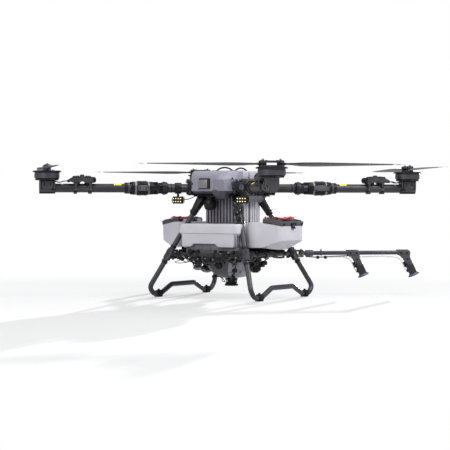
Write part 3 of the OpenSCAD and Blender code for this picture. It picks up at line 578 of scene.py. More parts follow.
def outer_arm(arm):
    """Moving half of the arm: octagonal locking sleeve with pale rings, clamp collars and the tube."""
    clamp_end = 646

    def rule(point):
        """Carbon past the last clamp, black before it."""
        x, r = along_arm(arm, point)
        return 0 if x > clamp_end and r < TUBE_R + 1 else 1

    softened("arm_" + arm, ["arm_carbon_" + arm, "black_plastic"], rule, 1.6)
    turn = arm_turn(arm)
    bm = new_part()
    octagon = about_tube(22.5) @ shift(0, 0, -ARM_Z)
    cones = ((484, 498, 35, 41.5), (498, 508, 41.5, 43), (574, 586, 43, 41.5), (586, 600, 41.5, 35))
    for x0, x1, r0, r1 in cones:
        rod(bm, (x0, 0, ARM_Z), (x1, 0, ARM_Z), r0, r1, sides=8, rounding=1.5, place=octagon)
    rod(bm, (614, 0, ARM_Z), (628, 0, ARM_Z), 33, sides=40, rounding=2)
    piece("sleeve_rings_" + arm, bm, "silver_metal", "arm_" + arm, place=turn)
    bm = new_part()
    for k in range(0, 8, 2):
        side = about_tube(45 * k)
        outline = [(512, -13), (518, -16), (562, -16), (568, -13),
                   (568, 13), (562, 16), (518, 16), (512, 13)]
        plate(bm, outline, 37, 43, 1.5, place=side)
    piece("sleeve_panels_" + arm, bm, "rail_grey", "arm_" + arm, place=turn)
    bm = new_part()
    for k in range(0, 8, 2):
        side = about_tube(45 * k)
        for x in (522, 558):
            block(bm, (x - 2, -12, 42), (x + 2, 12, 44.6), 1, place=side)
        block(bm, (568, -17, 34), (574, 17, 41), 1.5, place=side)
        rod(bm, (592, 0, 30), (592, 0, 40), 4, sides=6, place=side)
    for k in range(1, 8, 2):
        side = about_tube(45 * k)
        block(bm, (516, -10, 38), (566, 10, 42), 1.5, place=side)
    for z in (ARM_Z + 32, ARM_Z - 32):
        block(bm, (600, -9, z - 5), (613, 9, z + 5), 2)
        rod(bm, (606, -13, z), (606, 13, z), 3.2, sides=6)
    block(bm, (632, -9, ARM_Z + 26), (640, 9, ARM_Z + 33), 1.5)
    piece("sleeve_grips_" + arm, bm, "rubber", "arm_" + arm, place=turn)
    bm = new_part()
    bmesh.ops.create_cone(bm, cap_ends=False, segments=64, radius1=TUBE_R + 0.4, radius2=TUBE_R + 0.4,
                          depth=45, matrix=towards((665, 0, ARM_Z), (710, 0, ARM_Z)))
    away = [f for f in bm.faces if f.calc_center_median().z < ARM_Z + 16]
    bmesh.ops.delete(bm, geom=away, context="FACES")
    bmesh.ops.solidify(bm, geom=bm.faces[:], thickness=0.4)
    piece("arm_mark_" + arm, bm, "mark_yellow", "arm_" + arm, place=turn)


def fold_latch(arm):
    """Lever that locks the sleeve."""
    softened("fold_latch_" + arm, ["lid_plastic"], rounding=1.4)


def speed_controller(arm):
    """Finned controller on a saddle over the tube, with its round cap, straps and motor leads."""
    turn = arm_turn(arm)
    body = "arm_" + arm
    seat = shift(CONTROLLER_X, 0, 0)
    upright = seat @ spun("X", 90)
    bm = new_part()
    flank = [(-60, 685), (-48, 681), (-16, 684), (-8, 690), (8, 690), (16, 684), (48, 681),
             (62, 686), (80, 695), (76, 703), (58, 712), (48, 716), (-46, 716), (-58, 711)]
    plate(bm, flank, -36, 36, 2.5, steps=3, place=upright)
    for x0 in (-50, 36):
        saddle_leg = [(x0 - 6, 684), (x0, 650), (x0 + 8, 650), (x0 + 12, 684)]
        for s in (-1, 1):
            plate(bm, saddle_leg, s * 33 - 3, s * 33 + 3, 1.5, place=upright)
        block(bm, (x0 - 5, -32, 620), (x0 + 15, 32, 627), 3, place=seat)
    for s in (-1, 1):
        block(bm, (-58, s * 29 - 4, 632), (56, s * 29 + 4, 652), 4, place=seat)
    for x in (-44, -34, -24, 22, 32, 42, 52):
        block(bm, (x - 2.8, -33, 712), (x + 2.8, 33, 726 - abs(x) * 0.09), 1.2, place=seat)
    turned(bm, [(0, 730), (9, 730), (13, 727), (14, 714), (14, 708), (0, 708)], place=seat, sides=40)
    piece("controller_case_" + arm, bm, "controller", body, ["esc_" + arm], place=turn)
    bm = new_part()
    for x in (-49, -39, -29, -19, 17, 27, 37, 47):
        block(bm, (x - 2.2, -36.7, 707), (x + 2.2, 36.7, 717), 0.8, place=seat)
    for s in (-1, 1):
        rod(bm, (-62, s * 13, 698), (-62, s * 34, 698), 18, sides=40, rounding=3, place=seat)
        for r in (5, 11):
            turned(bm, [(r, 0), (r, 2), (r + 2, 2), (r + 2, 0), (r, 0)], sides=32,
                   place=seat @ shift(-62, s * 33.5, 698) @ spun("X", -90 * s))
        block(bm, (72, s * 16 - 9, 684), (86, s * 16 + 9, 700), 3, place=seat)
        for x in (-24, 24):
            block(bm, (x - 9, s * 30 - 2, 672), (x + 9, s * 30 + 2, 684), 1.5, place=seat)
    block(bm, (-80, -14, 684), (-62, 14, 712), 4, place=seat)
    for x in (-45, 41):
        block(bm, (x - 8, -30, 616), (x + 8, 30, 623), 2, place=seat)
    piece("controller_slots_" + arm, bm, "rubber", body, place=turn)
    bm = new_part()
    for x0 in (-50, 36):
        for s in (-1, 1):
            hex_bolt(bm, seat @ shift(x0 + 4, s * 33, 644) @ spun("X", -90 * s), 5, 2.5)
    for s in (-1, 1):
        block(bm, (112, s * 20 - 5, ARM_Z + 15), (126, s * 20 + 5, ARM_Z + 25), 2, place=seat)
    piece("controller_bolts_" + arm, bm, "silver_metal", body, place=turn)
    routes = []
    for y in (-19, 0, 19):
        lead = ((80, 0.9, 692), (104, 1.0, 691), (134, 1.1, 684), (158, 1.2, 690))
        routes.append(([(CONTROLLER_X + x, y * spread, z) for x, spread, z in lead], 6))
    bundle("motor_leads_" + arm, routes, "hose_dark", body, turn)


def motor(arm):
    """Cast mount round the tube's end, its ribs and bolts, and the seat and windings under the can."""
    turn = arm_turn(arm)
    softened("motor_" + arm, ["mount_grey", "black_plastic"],
             lambda p: 1 if along_arm(arm, p)[0] < MOTOR_R - 27 or p.z < 630 or p.z > 694 else 0,
             rounding=4.0, steps=3)
    centre = shift(MOTOR_R, 0, 0)
    bm = new_part()
    for s in (-1, 1):
        for x in (-34, 34):
            block(bm, (x - 3, s * 31 - 1.5, 640), (x + 3, s * 31 + 1.5, 690), 1.2, place=centre)
        for x in (-18, 18):
            block(bm, (x - 4, s * 31 - 1.2, 664), (x + 4, s * 31 + 1.2, 684), 1, place=centre)
        block(bm, (-44, s * 30 - 3, 634), (-24, s * 30 + 3, 646), 2, place=centre)
        block(bm, (-40, s * 31 - 1.5, 689), (42, s * 31 + 1.5, 694), 1, place=centre)
    turned(bm, [(0, 695), (66, 695), (71, 696), (72, 698), (71, 700), (0, 700)], place=centre, sides=72)
    for k in range(24):
        spoke = centre @ spun("Z", 360 * k / 24)
        block(bm, (58, -2, 699), (64, 2, 709), 0.8, place=spoke)
    piece("mount_ribs_" + arm, bm, "black_plastic", "arm_" + arm, place=turn)
    bm = new_part()
    for s in (-1, 1):
        block(bm, (-24, s * 31 - 2.5, 644), (24, s * 31 + 2.5, 660), 2, place=centre)
        for x in (-23, 23):
            hex_bolt(bm, centre @ shift(x, s * 33, 652) @ spun("X", -90 * s), 6, 2.5)
    piece("mount_pads_" + arm, bm, "mount_grey", "arm_" + arm, place=turn)


def rotor(arm):
    """Motor can, slotted fan ring and the hub that clamps both blades."""
    turn = arm_turn(arm)
    centre = shift(MOTOR_R, 0, 0)
    body = "rotor_" + arm
    bm = new_part()
    can = [(64, CAN_LOW), (CAN_R - 1.5, CAN_LOW), (CAN_R, CAN_LOW + 1.5), (CAN_R, CAN_HIGH - 5),
           (CAN_R - 2, CAN_HIGH - 3), (CAN_R - 2, CAN_HIGH), (30, CAN_HIGH), (30, CAN_HIGH - 6),
           (64, CAN_HIGH - 8), (64, CAN_LOW)]
    turned(bm, can, place=centre, sides=96)
    piece("motor_can_" + arm, bm, "can_metal", body, ["rotor_" + arm], place=turn)
    bm = new_part()
    ring = [(28, CAN_HIGH), (76, CAN_HIGH), (76, CAN_HIGH + 1.2), (RING_R - 1, CAN_HIGH + 1.8),
            (RING_R, CAN_HIGH + 2.8), (RING_R, RING_HIGH - 2), (RING_R - 1, RING_HIGH - 1),
            (76, RING_HIGH), (28, RING_HIGH), (28, CAN_HIGH)]
    turned(bm, ring, place=centre, sides=96)
    for k in range(24):
        fin = centre @ spun("Z", 360 * k / 24)
        block(bm, (34, -1.5, RING_HIGH - 1), (80, 1.5, RING_HIGH + 2), 0.8, place=fin)
    piece("fan_ring_" + arm, bm, "black_plastic", body, place=turn)
    bm = new_part()
    waist = [(-19, -30), (-17, 0), (-19, 30)]
    end_r = 22.5
    turns = [math.radians(180 - 20 * k) for k in range(10)]
    end = [(end_r * math.cos(a), PIVOT_Y + end_r * math.sin(a)) for a in turns]
    outline = waist + end + [(-x, -y) for x, y in waist] + [(-x, -y) for x, y in end]
    for z0, z1 in ((RING_HIGH, RING_HIGH + 11.4), (HUB_HIGH - 11.4, HUB_HIGH)):
        plate(bm, outline, z0, z1, 2.5, steps=3, place=centre)
    rod(bm, (0, 0, CAN_HIGH), (0, 0, RING_HIGH + 8), 27, sides=48, place=centre)
    for s in (-1, 1):
        for y in (PIVOT_Y * s - 10, PIVOT_Y * s, PIVOT_Y * s + 10):
            block(bm, (-15, y - 1.5, HUB_HIGH - 2), (15, y + 1.5, HUB_HIGH + 2), 1, place=centre)
    piece("rotor_hub_" + arm, bm, "hub_grey", body, place=turn)
    bm = new_part()
    for s in (-1, 1):
        rod(bm, (0, s * PIVOT_Y, RING_HIGH + 2), (0, s * PIVOT_Y, ROTOR_TOP - 1), 4.9, sides=24, place=centre)
        hex_bolt(bm, centre @ shift(0, s * PIVOT_Y, HUB_HIGH + 1.6), 12, 4)
        for x in (-13, 13):
            hex_bolt(bm, centre @ shift(x, s * (PIVOT_Y - 18), HUB_HIGH), 6, 3)
    piece("hub_bolts_" + arm, bm, "steel", body, place=turn)


def tip_finish(share):
    """Carbon, then a white, a red and a white band at the blade's end; share is how far out a face is."""
    if share < 0.905:
        return 0
    return 2 if 0.935 < share < 0.965 else 1


def blade(arm, letter):
    """One carbon blade: twisted airfoil with a swept white and red tip, and its pivot boss."""
    side = 1 if letter == "a" else -1
    hand = 1 if arm in ("rl", "fr") else -1
    stations = [(0.020, 0.25, 10.5, 0), (0.045, 0.27, 10.5, 2), (0.085, 0.42, 11.0, 8),
                (0.17, 0.76, 10.5, 11), (0.29, 0.99, 9.0, 9.5), (0.44, 0.95, 7.5, 8),
                (0.64, 0.80, 6.0, 6.5), (0.80, 0.64, 5.0, 5.5), (0.905, 0.52, 4.0, 4.6),
                (0.935, 0.47, 3.8, 4.3), (0.965, 0.41, 3.4, 4), (0.985, 0.32, 3.0, 4), (0.999, 0.18, 2.3, 4)]
    bm = new_part()
    sides = 20
    rings = []
    for span, width, thick, pitch in stations:
        c, s = math.cos(math.radians(pitch)), math.sin(math.radians(pitch))
        ring = []
        for k in range(sides):
            a = math.tau * k / sides
            x = width * BLADE_CHORD * (0.12 - 0.5 * math.cos(a))
            z = thick / 2 * math.sin(a) * (1 if math.cos(a) > 0 else 1 + 0.55 * math.cos(a))
            ring.append((x * c + z * s, span * BLADE_SPAN, -x * s + z * c))
        rings.append(ring)
    loft(bm, rings, sharp_from=180)
    if hand < 0:
        bmesh.ops.scale(bm, vec=(-1, 1, 1), verts=bm.verts)
    tint_where(bm, lambda p: tip_finish(p.y / BLADE_SPAN))
    rod(bm, (0, 0, -5.8), (0, 0, 5.8), 19.8, sides=48, rounding=1.5, finish=3)
    rod(bm, (0, 16, 0), (0, 34, 0), 7.5, 6.2, sides=32, rounding=1.5, finish=3)
    place = (arm_turn(arm) @ shift(MOTOR_R, side * PIVOT_Y, BLADE_Z)
             @ Matrix.Rotation(0 if side > 0 else math.pi, 4, "Z"))
    finishes = ("blade_carbon", "tip_white", "tip_red", "black_plastic")
    piece(f"blade_{letter}_{arm}_shape", bm, finishes, f"blade_{letter}_{arm}",
          [f"blade_{letter}_{arm}"], place=place, smooth=50)


def arm_set():
    """The four arms with their motors and blades."""
    for arm in ARMS:
        inner_arm(arm)
        outer_arm(arm)
        fold_latch(arm)
        speed_controller(arm)
        motor(arm)
        rotor(arm)
        blade(arm, "a")
        blade(arm, "b")


# ---------- body ----------

BATTERY_TOP = 753


def centre_frame():
    """Dark frame box with its ribbed arm sockets and grey side rails."""
    softened("centre_frame", ["frame_plastic", "rail_grey"],
             lambda p: 1 if p.z < 599.2 else 0, 1.5)
    bm = new_part()
    for arm in ARMS:
        turn = arm_turn(arm)
        for k in range(12):
            spin = turn @ about_tube(30 * k)
            block(bm, (200, -2.5, 38), (252, 2.5, 42), 1.2, place=spin)
            hex_bolt(bm, spin @ shift(261.5, 0, 36.5) @ spun("Y", 90), 6, 3.5)
        for x in (214, 226):
            rod(bm, (x, 0, ARM_Z), (x + 5, 0, ARM_Z), 41.5, sides=56, rounding=1.5, place=turn)
        for s in (-1, 1):
            block(bm, (206, s * 41 - 6, ARM_Z + 20), (250, s * 41 + 6, ARM_Z + 34), 3, place=turn)
    for x in (-1, 1):
        for y in (-70, -35, 0, 35, 70, 105, 140):
            block(bm, (x * 151 - 3, y - 4, 606), (x * 151 + 3, y + 4, 692), 1.5)
        block(bm, (x * 150 - 6, -95, 692), (x * 150 + 6, 165, 702), 2)
        block(bm, (x * 150 - 6, -95, 600), (x * 150 + 6, 165, 609), 2)
    for y in (-92, 168):
        block(bm, (-148, y - 6, 696), (148, y + 6, 706), 2)
    piece("frame_ribs", bm, "black_plastic", "root")
    bm = new_part()
    for x in (-1, 1):
        for y in (-52, 82):
            hex_bolt(bm, shift(x * 162, y, 583.5) @ spun("Y", 90 * x), 9, 5)
    piece("rail_bolts", bm, "steel", "root")


def socket_fittings():
    """Plugs and leads crowded round the two front arm sockets."""
    for s, arm in ((1, "fl"), (-1, "fr")):
        bm = new_part()
        for k, (x, y, z) in enumerate(((166, -196, 690), (172, -184, 668), (176, -190, 640), (150, -206, 676),
                                       (160, -204, 628), (196, -176, 694), (204, -168, 622))):
            rod(bm, (s * x, y, z - 11), (s * x, y, z + 11), 6 + k % 3, sides=20, rounding=1.5)
            rod(bm, (s * x, y, z - 4), (s * x, y, z + 4), 8.5 + k % 3, sides=6, rounding=1)
        piece("socket_fittings_" + arm, bm, "controller", "root")
        routes = [(slack((s * 150, -168, 700), (s * 178, -196, 618), 9, 5, 0.4), 5),
                  (slack((s * 190, -160, 702), (s * 200, -186, 616), 8, 5, 2.0), 4),
                  (slack((s * 146, -196, 696), (s * 210, -176, 630), 10, 6, 3.3), 4.5),
                  (slack((s * 214, -158, 700), (s * 176, -200, 640), 9, 6, 4.4), 4)]
        bundle("socket_leads_" + arm, routes, "hose_dark", "root")


def shell_ring(z, inset, nose):
    """Outline of the front cover at one height; nose is how far its bump stands out."""
    front = -205 + inset
    shoulder = -172 + inset * 0.5
    return [(-164, -108, z), (-166 + inset * 0.4, shoulder, z), (-152, front, z), (9, front, z),
            (60, front - nose, z), (106, front - nose, z), (157 - inset * 0.4, shoulder, z), (157, -108, z)]


def front_shell():
    """Smooth two-tone front cover with a hexagonal nose, its dark chin and vents."""
    finishes = ("shell_lilac", "shell_mid", "shell_dark")
    bm = new_part()
    loft(bm, [shell_ring(610, 34, 2), shell_ring(634, 0, 25), shell_ring(701, 0, 35), shell_ring(723, 3, 10),
              shell_ring(744, 14, 2), shell_ring(753, 36, 0)], rounding=4, steps=3, sharp_from=9)
    for face in bm.faces:
        p = face.calc_center_median()
        # The nose's flat front faces take shell_mid, a slightly darker copy of the lilac.
        nose_face = abs(face.normal.y) > 0.93 and 60 < p.x < 106 and p.z < 704
        face.material_index = 2 if p.z < 631 else 1 if nose_face else 0
    piece("front_cover", bm, finishes, "root", ["front_shell"], smooth=50)
    bm = new_part()
    chin = [(586, [(20, -160), (22, -184), (44, -194), (76, -190), (88, -160)]),
            (612, [(0, -160), (2, -196), (54, -214), (96, -212), (114, -160)]),
            (641, [(-14, -160), (-10, -203), (60, -231), (106, -231), (136, -178)])]
    loft(bm, [[(x, y, z) for x, y in ring] for z, ring in chin], rounding=4, steps=3, sharp_from=10)
    bm.normal_update()
    for face in bm.faces:
        face.material_index = 1 if face.normal.x < -0.35 and face.normal.z > -0.6 else 2
    piece("front_chin", bm, finishes, "root", smooth=50)
    bm = new_part()
    for s in (-1, 1):
        for z in (655, 668, 681, 694):
            block(bm, (s * 159 - 3, -150, z), (s * 159 + 3, -118, z + 5), 1.5)
    block(bm, (-150, -120, 744), (150, -114, 750), 2)
    block(bm, (-134, -157, 746), (-102, -143, 754), 2)
    rod(bm, (112, -150, 750), (112, -150, 756), 7, sides=24, rounding=1.5)
    rod(bm, (138, -194, 704), (144, -206, 706), 4.5, sides=20)
    piece("cover_vents", bm, "black_plastic", "root")


def sensor_window():
    """Square sensing window: pale screen set off centre in a deep dark frame."""
    bm = new_part()
    block(bm, (-98, -211, 641), (-14, -200, 708), 3)
    piece("sensor_frame", bm, "frame_plastic", "root", ["sensor_panel"])
    bm = new_part()
    block(bm, (-99, -212.5, 640), (-90, -203, 709), 1.5)
    block(bm, (-99, -212.5, 640), (-16, -203, 645), 1.5)
    block(bm, (-90, -215, 650), (-31, -205, 700), 2)
    piece("sensor_screen", bm, "sensor_face", "root")


def radar():
    """Round radar head under the nose on a short neck, with its lead."""
    low, high, at = node_low("radar_housing").z, node_high("radar_housing").z, node_mid("radar_housing")
    place = shift(at.x, at.y, 0)
    bm = new_part()
    dome = [(0, low), (20, low), (31, low + 7), (36.5, low + 20), (38, low + 34), (36, low + 50),
            (30, low + 60), (20, low + 63), (20, high), (0, high)]
    turned(bm, dome, place=place, sides=56)
    bead = [(37, low + 31), (39, low + 32), (39, low + 36), (37, low + 37), (37, low + 31)]
    turned(bm, bead, place=place, sides=56)
    for k in range(4):
        hex_bolt(bm, place @ spun("Z", 45 + 90 * k) @ shift(25, 0, low + 60), 6, 3)
    piece("radar_head", bm, "black_plastic", "root", ["radar_housing"])
    cable("radar_lead", [(-52, -150, 588), (-40, -168, 596), (0, -186, 604), (20, -190, 610)], 7,
          "hose_dark", "root")


def battery(node, low_y, high_y):
    """Battery column with broad flutes on every side and a smooth capped top."""
    half = node_high(node).x
    floor_z, top_z = node_low(node).z, BATTERY_TOP
    bm = new_part()
    # The core between the ribs is near black: painted shade in the gaps.
    block(bm, (-half + 6, low_y + 6, floor_z), (half - 6, high_y - 6, top_z - 50), 2)
    ribs = 11
    pitch = (2 * half - 14) / (ribs - 1)
    for k in range(ribs):
        x = (k - (ribs - 1) / 2) * pitch
        for y0, y1 in ((low_y, low_y + 9), (high_y - 9, high_y)):
            # Front and back ribs: darker copy of the battery grey, painted shade.
            block(bm, (x - 6.5, y0, floor_z + 2), (x + 6.5, y1, top_z - 50), 2, finish=1)
    flutes = 4
    width = (high_y - low_y - 8) / flutes
    for k in range(flutes):
        y = low_y + 4 + width * (k + 0.5)
        for x in (4.5 - half, half - 4.5):
            # Side flutes: lighter copy of the battery grey, painted light.
            block(bm, (x - 4.5, y - width / 2 + 3, floor_z + 2), (x + 4.5, y + width / 2 - 3, top_z - 50), 4,
                  finish=2)
    finishes = ("battery_core_painted_shade", "battery_front", "battery_side_painted_light")
    piece(node + "_ribs", bm, finishes, "root", [node])
    bm = new_part()
    block(bm, (-half, low_y, top_z - 52), (half, high_y, top_z), 9)
    block(bm, (-half + 16, low_y + 14, top_z - 3), (half - 16, high_y - 14, top_z + 1.5), 2)
    middle = (low_y + high_y) / 2
    for s in (-1, 1):
        for y in (middle - 28, middle + 28):
            block(bm, (s * half - 1.8, y - 10, top_z - 44), (s * half + 0.2, y + 10, top_z - 12), 1)
    piece(node + "_top", bm, "battery_top", "root")
    bm = new_part()
    for s in (-1, 1):
        block(bm, (s * 70 - 12, low_y + 8, top_z - 6), (s * 70 + 12, low_y + 22, top_z + 4), 2)
    piece(node + "_pads", bm, "black_plastic", "root")


def battery_handles():
    """Arched rubber straps on top of the batteries."""
    for node, y, half in (("battery_front", -75, 60), ("battery_rear", 99, 47)):
        top = node_high(node).z - 5
        foot = BATTERY_TOP - 1
        rise = [(1.0, foot), (0.8, foot + 8), (0.45, top - 4)]
        arch = ([(-half * share, y, z) for share, z in rise] + [(0, y, top)]
                + [(half * share, y, z) for share, z in reversed(rise)])
        cable(node + "_handle", arch, 9.6, "rubber", "root")


# ---------- landing gear ----------

LEG_TOP = Vector((120, 122, 604))
LEG_FOOT = Vector((360, 338, 62))


def leg_at(z):
    """The middle of the rear left strut at a height."""
    return LEG_FOOT + (LEG_TOP - LEG_FOOT) * (z - LEG_FOOT.z) / (LEG_TOP.z - LEG_FOOT.z)


def on_leg(p, x, y):
    """A point of the rear left strut carried over to another corner; x and y are 1 or -1."""
    return Vector((p.x * x, p.y * y, p.z))


def corner_arc(start, at, end, steps=6):
    """Points of a smooth bend from start to end round the corner at."""
    shares = [k / steps for k in range(steps + 1)]
    return [start * (1 - t) ** 2 + at * 2 * t * (1 - t) + end * t * t for t in shares]


def rounded_route(points, radii):
    """A route whose corners are arcs; radii gives each corner's reach."""
    route = [Vector(points[0])]
    for before, at, after, radius in zip(points, points[1:], points[2:], radii):
        before, at, after = Vector(before), Vector(at), Vector(after)
        reach = min(radius, (at - before).length * 0.45, (after - at).length * 0.45)
        start = at + (before - at).normalized() * reach
        end = at + (after - at).normalized() * reach
        route += corner_arc(start, at, end)
    return route + [Vector(points[-1])]


def pipe(bm, route, radius, sides=28):
    """A tube swept along a route, bridged ring by ring."""
    last = len(route) - 1
    rings = []
    side = (route[1] - route[0]).orthogonal()
    for k, p in enumerate(route):
        way = (route[min(k + 1, last)] - route[max(k - 1, 0)]).normalized()
        side = (side - way * side.dot(way)).normalized()
        other = way.cross(side)
        turns = [math.tau * i / sides for i in range(sides)]
        rings.append([p + (side * math.cos(a) + other * math.sin(a)) * radius for a in turns])
    loft(bm, rings, sharp_from=180)


def landing_leg(name, x):
    """Bent carbon skid with its two struts, strut brackets and tube joints."""
    skid_z = 20
    skid = [Vector((LEG_FOOT.x, y, z)) for y, z in ((300, skid_z), (226, skid_z), (118, 70))]

    def half(y):
        """The points of one half of the tube, from its top down to the skid's middle."""
        return [on_leg(p, x, y) for p in [LEG_TOP, LEG_FOOT] + skid]

    bm = new_part()
    route = half(-1) + list(reversed(half(1)))
    pipe(bm, rounded_route(route, (52, 34, 16, 16, 16, 16, 34, 52)), 15)
    piece(name + "_tube", bm, "gear_carbon", "root", [name])
    bm = new_part()
    for y in (-1, 1):
        top, low = (on_leg(leg_at(z), x, y) for z in (600, 492))
        rod(bm, low, top, 20, 32, sides=8, rounding=3)
        for z in (500, 536):
            p, q = on_leg(leg_at(z), x, y), on_leg(leg_at(z + 9), x, y)
            rod(bm, p, q, 24, sides=8, rounding=2)
        for z in (205, 295):
            p, q = on_leg(leg_at(z), x, y), on_leg(leg_at(z + 13), x, y)
            rod(bm, p, q, 18, sides=40, rounding=2)
        if y < 0:
            p, q = on_leg(leg_at(212), x, y), on_leg(leg_at(300), x, y)
            out = Vector((x, y, 0)).normalized() * 12
            rod(bm, p + out, q + out, 7, sides=24, rounding=2)
    piece(name + "_brackets", bm, "black_plastic", "root")
    bm = new_part()
    for y in (-1, 1):
        out = Vector((0.7 * x, 0.7 * y, 0.25)).normalized()
        for z in (222, 250, 282, 514, 560, 584):
            p = on_leg(leg_at(z), x, y)
            reach = 19 if z < 300 else 24
            hex_bolt(bm, towards(p + out * reach, p + out * (reach + 0.01)), 7, 4)
    piece(name + "_bolts", bm, "steel", "root")


def foot_pads():
    """Rubber shoes under the skids."""
    softened("foot_pads", ["rubber"], rounding=3, steps=3)


def lower_frame():
    """Lower square of tubes with its corner joints, hose clamps and tank pads."""
    softened("lower_frame", ["gear_carbon", "frame_plastic"],
             lambda p: 1 if p.z > LOWER_Z + 14 or (abs(p.x) < 214 and abs(p.y) < 214) else 0, 1.2)
    corner = leg_at(LOWER_Z)
    bm = new_part()
    for x in (-corner.x, corner.x):
        for y in (-150, 150):
            rod(bm, (x, y - 9, LOWER_Z), (x, y + 9, LOWER_Z), 15.5, sides=32, rounding=2)
            block(bm, (x - 6, y - 8, LOWER_Z + 12), (x + 6, y + 8, LOWER_Z + 24), 2)
        for s in (-1, 1):
            y = s * corner.y
            rod(bm, (x, y - s * 52, LOWER_Z), (x, y - s * 18, LOWER_Z), 19, sides=32, rounding=3)
            block(bm, (x - 13, y - 13, LOWER_Z + 10), (x + 13, y + 13, LOWER_Z + 26), 4)
    for y in (-1, 1):
        for x in (-190, -60, 60, 190):
            rod(bm, (x - 9, y * corner.y, LOWER_Z), (x + 9, y * corner.y, LOWER_Z), 16, sides=32, rounding=2)
            block(bm, (x - 7, y * corner.y - 6, LOWER_Z + 12), (x + 7, y * corner.y + 6, LOWER_Z + 30), 2)
    piece("lower_frame_clamps", bm, "black_plastic", "root")


# ---------- tank and lids ----------

TANK_LOW, TANK_TOP = 302, 440
LOBE_TOP = 449
LOBE_X0, LOBE_X1 = 232, 429
LID_X0 = 300
WELL_DEPTH = 78
LID_TILT = math.radians(9.4)


def on_lid(side):
    """The lid's own frame: X down its slope from the hinge, Z square to it. side is 1 left and -1 right."""
    place = shift(LID_X0, 0, LOBE_TOP) @ Matrix.Rotation(LID_TILT, 4, "Y")
    return (Matrix.Scale(-1, 4, (1, 0, 0)) @ place) if side < 0 else place


def lobe_ring(z_in, z_out, draw, round_out, round_front):
    """Outline of a tank lobe: z falls from z_in to z_out towards its outer end, which is drawn in by draw."""
    half = [(LOBE_X0 - 12, -158, 0, 0), (LOBE_X0 + 20, -200, 0.35, 0), (LOBE_X0 + 92, -171, 0.6, 0),
            (LOBE_X1, -128, 1, 1)]
    points = []
    for x, y, k, fall in half + [(x, -y, k, fall) for x, y, k, fall in reversed(half)]:
        narrow = math.copysign(draw * 0.75 * (0.4 + k), y)
        points.append(Vector((x - draw * k, y - narrow, z_in + (z_out - z_in) * fall)))
    reach = [6, round_front, 8, round_out, round_out, 8, round_front, 6]
    ring = []
    for k, at in enumerate(points):
        before, after = points[k - 1], points[(k + 1) % len(points)]
        start = at + (before - at).normalized() * reach[k]
        end = at + (after - at).normalized() * reach[k]
        ring += corner_arc(start, at, end)
    return ring


def tank_lobe(side):
    """Blow-moulded side lobe with a filler well under its lid."""
    bm = new_part()
    rings = [lobe_ring(TANK_LOW - 2, TANK_LOW - 12, 66, 26, 34),
             lobe_ring(TANK_LOW + 2, TANK_LOW + 43, 0, 42, 48),
             lobe_ring(LOBE_TOP + 8, LOBE_TOP + 8, 0, 30, 46)]
    loft(bm, rings, rounding=14, steps=5, sharp_from=20)
    tilt = on_lid(1)
    up = tilt.to_3x3() @ Vector((0, 0, 1))
    for at, normal in ((tilt @ Vector((0, 0, -0.2)), up), (Vector((0, 0, LOBE_TOP)), Vector((0, 0, 1)))):
        everything = bm.verts[:] + bm.edges[:] + bm.faces[:]
        cut = bmesh.ops.bisect_plane(bm, geom=everything, plane_co=at, plane_no=normal, clear_outer=True)
        rim = [g for g in cut["geom_cut"] if isinstance(g, bmesh.types.BMEdge)]
        bmesh.ops.contextual_create(bm, geom=rim)
    for face in [f for f in bm.faces if f.normal.dot(up) > 0.999 and f.calc_area() > 5000]:
        bmesh.ops.inset_region(bm, faces=[face], thickness=13, use_even_offset=True)
        grown = bmesh.ops.extrude_face_region(bm, geom=[face])
        low = [g for g in grown["geom"] if isinstance(g, bmesh.types.BMVert)]
        bmesh.ops.translate(bm, verts=low, vec=up * -WELL_DEPTH)
        bmesh.ops.delete(bm, geom=[face], context="FACES")
        middle = sum((v.co for v in low), Vector()) / len(low)
        bmesh.ops.scale(bm, vec=(0.86, 0.9, 1), verts=low, space=Matrix.Translation(-middle))
    if side < 0:
        bmesh.ops.scale(bm, vec=(-1, 1, 1), verts=bm.verts)
    word = "left" if side > 0 else "right"
    piece("tank_lobe_" + word, bm, "tank_plastic", "root", ["tank"], smooth=50)


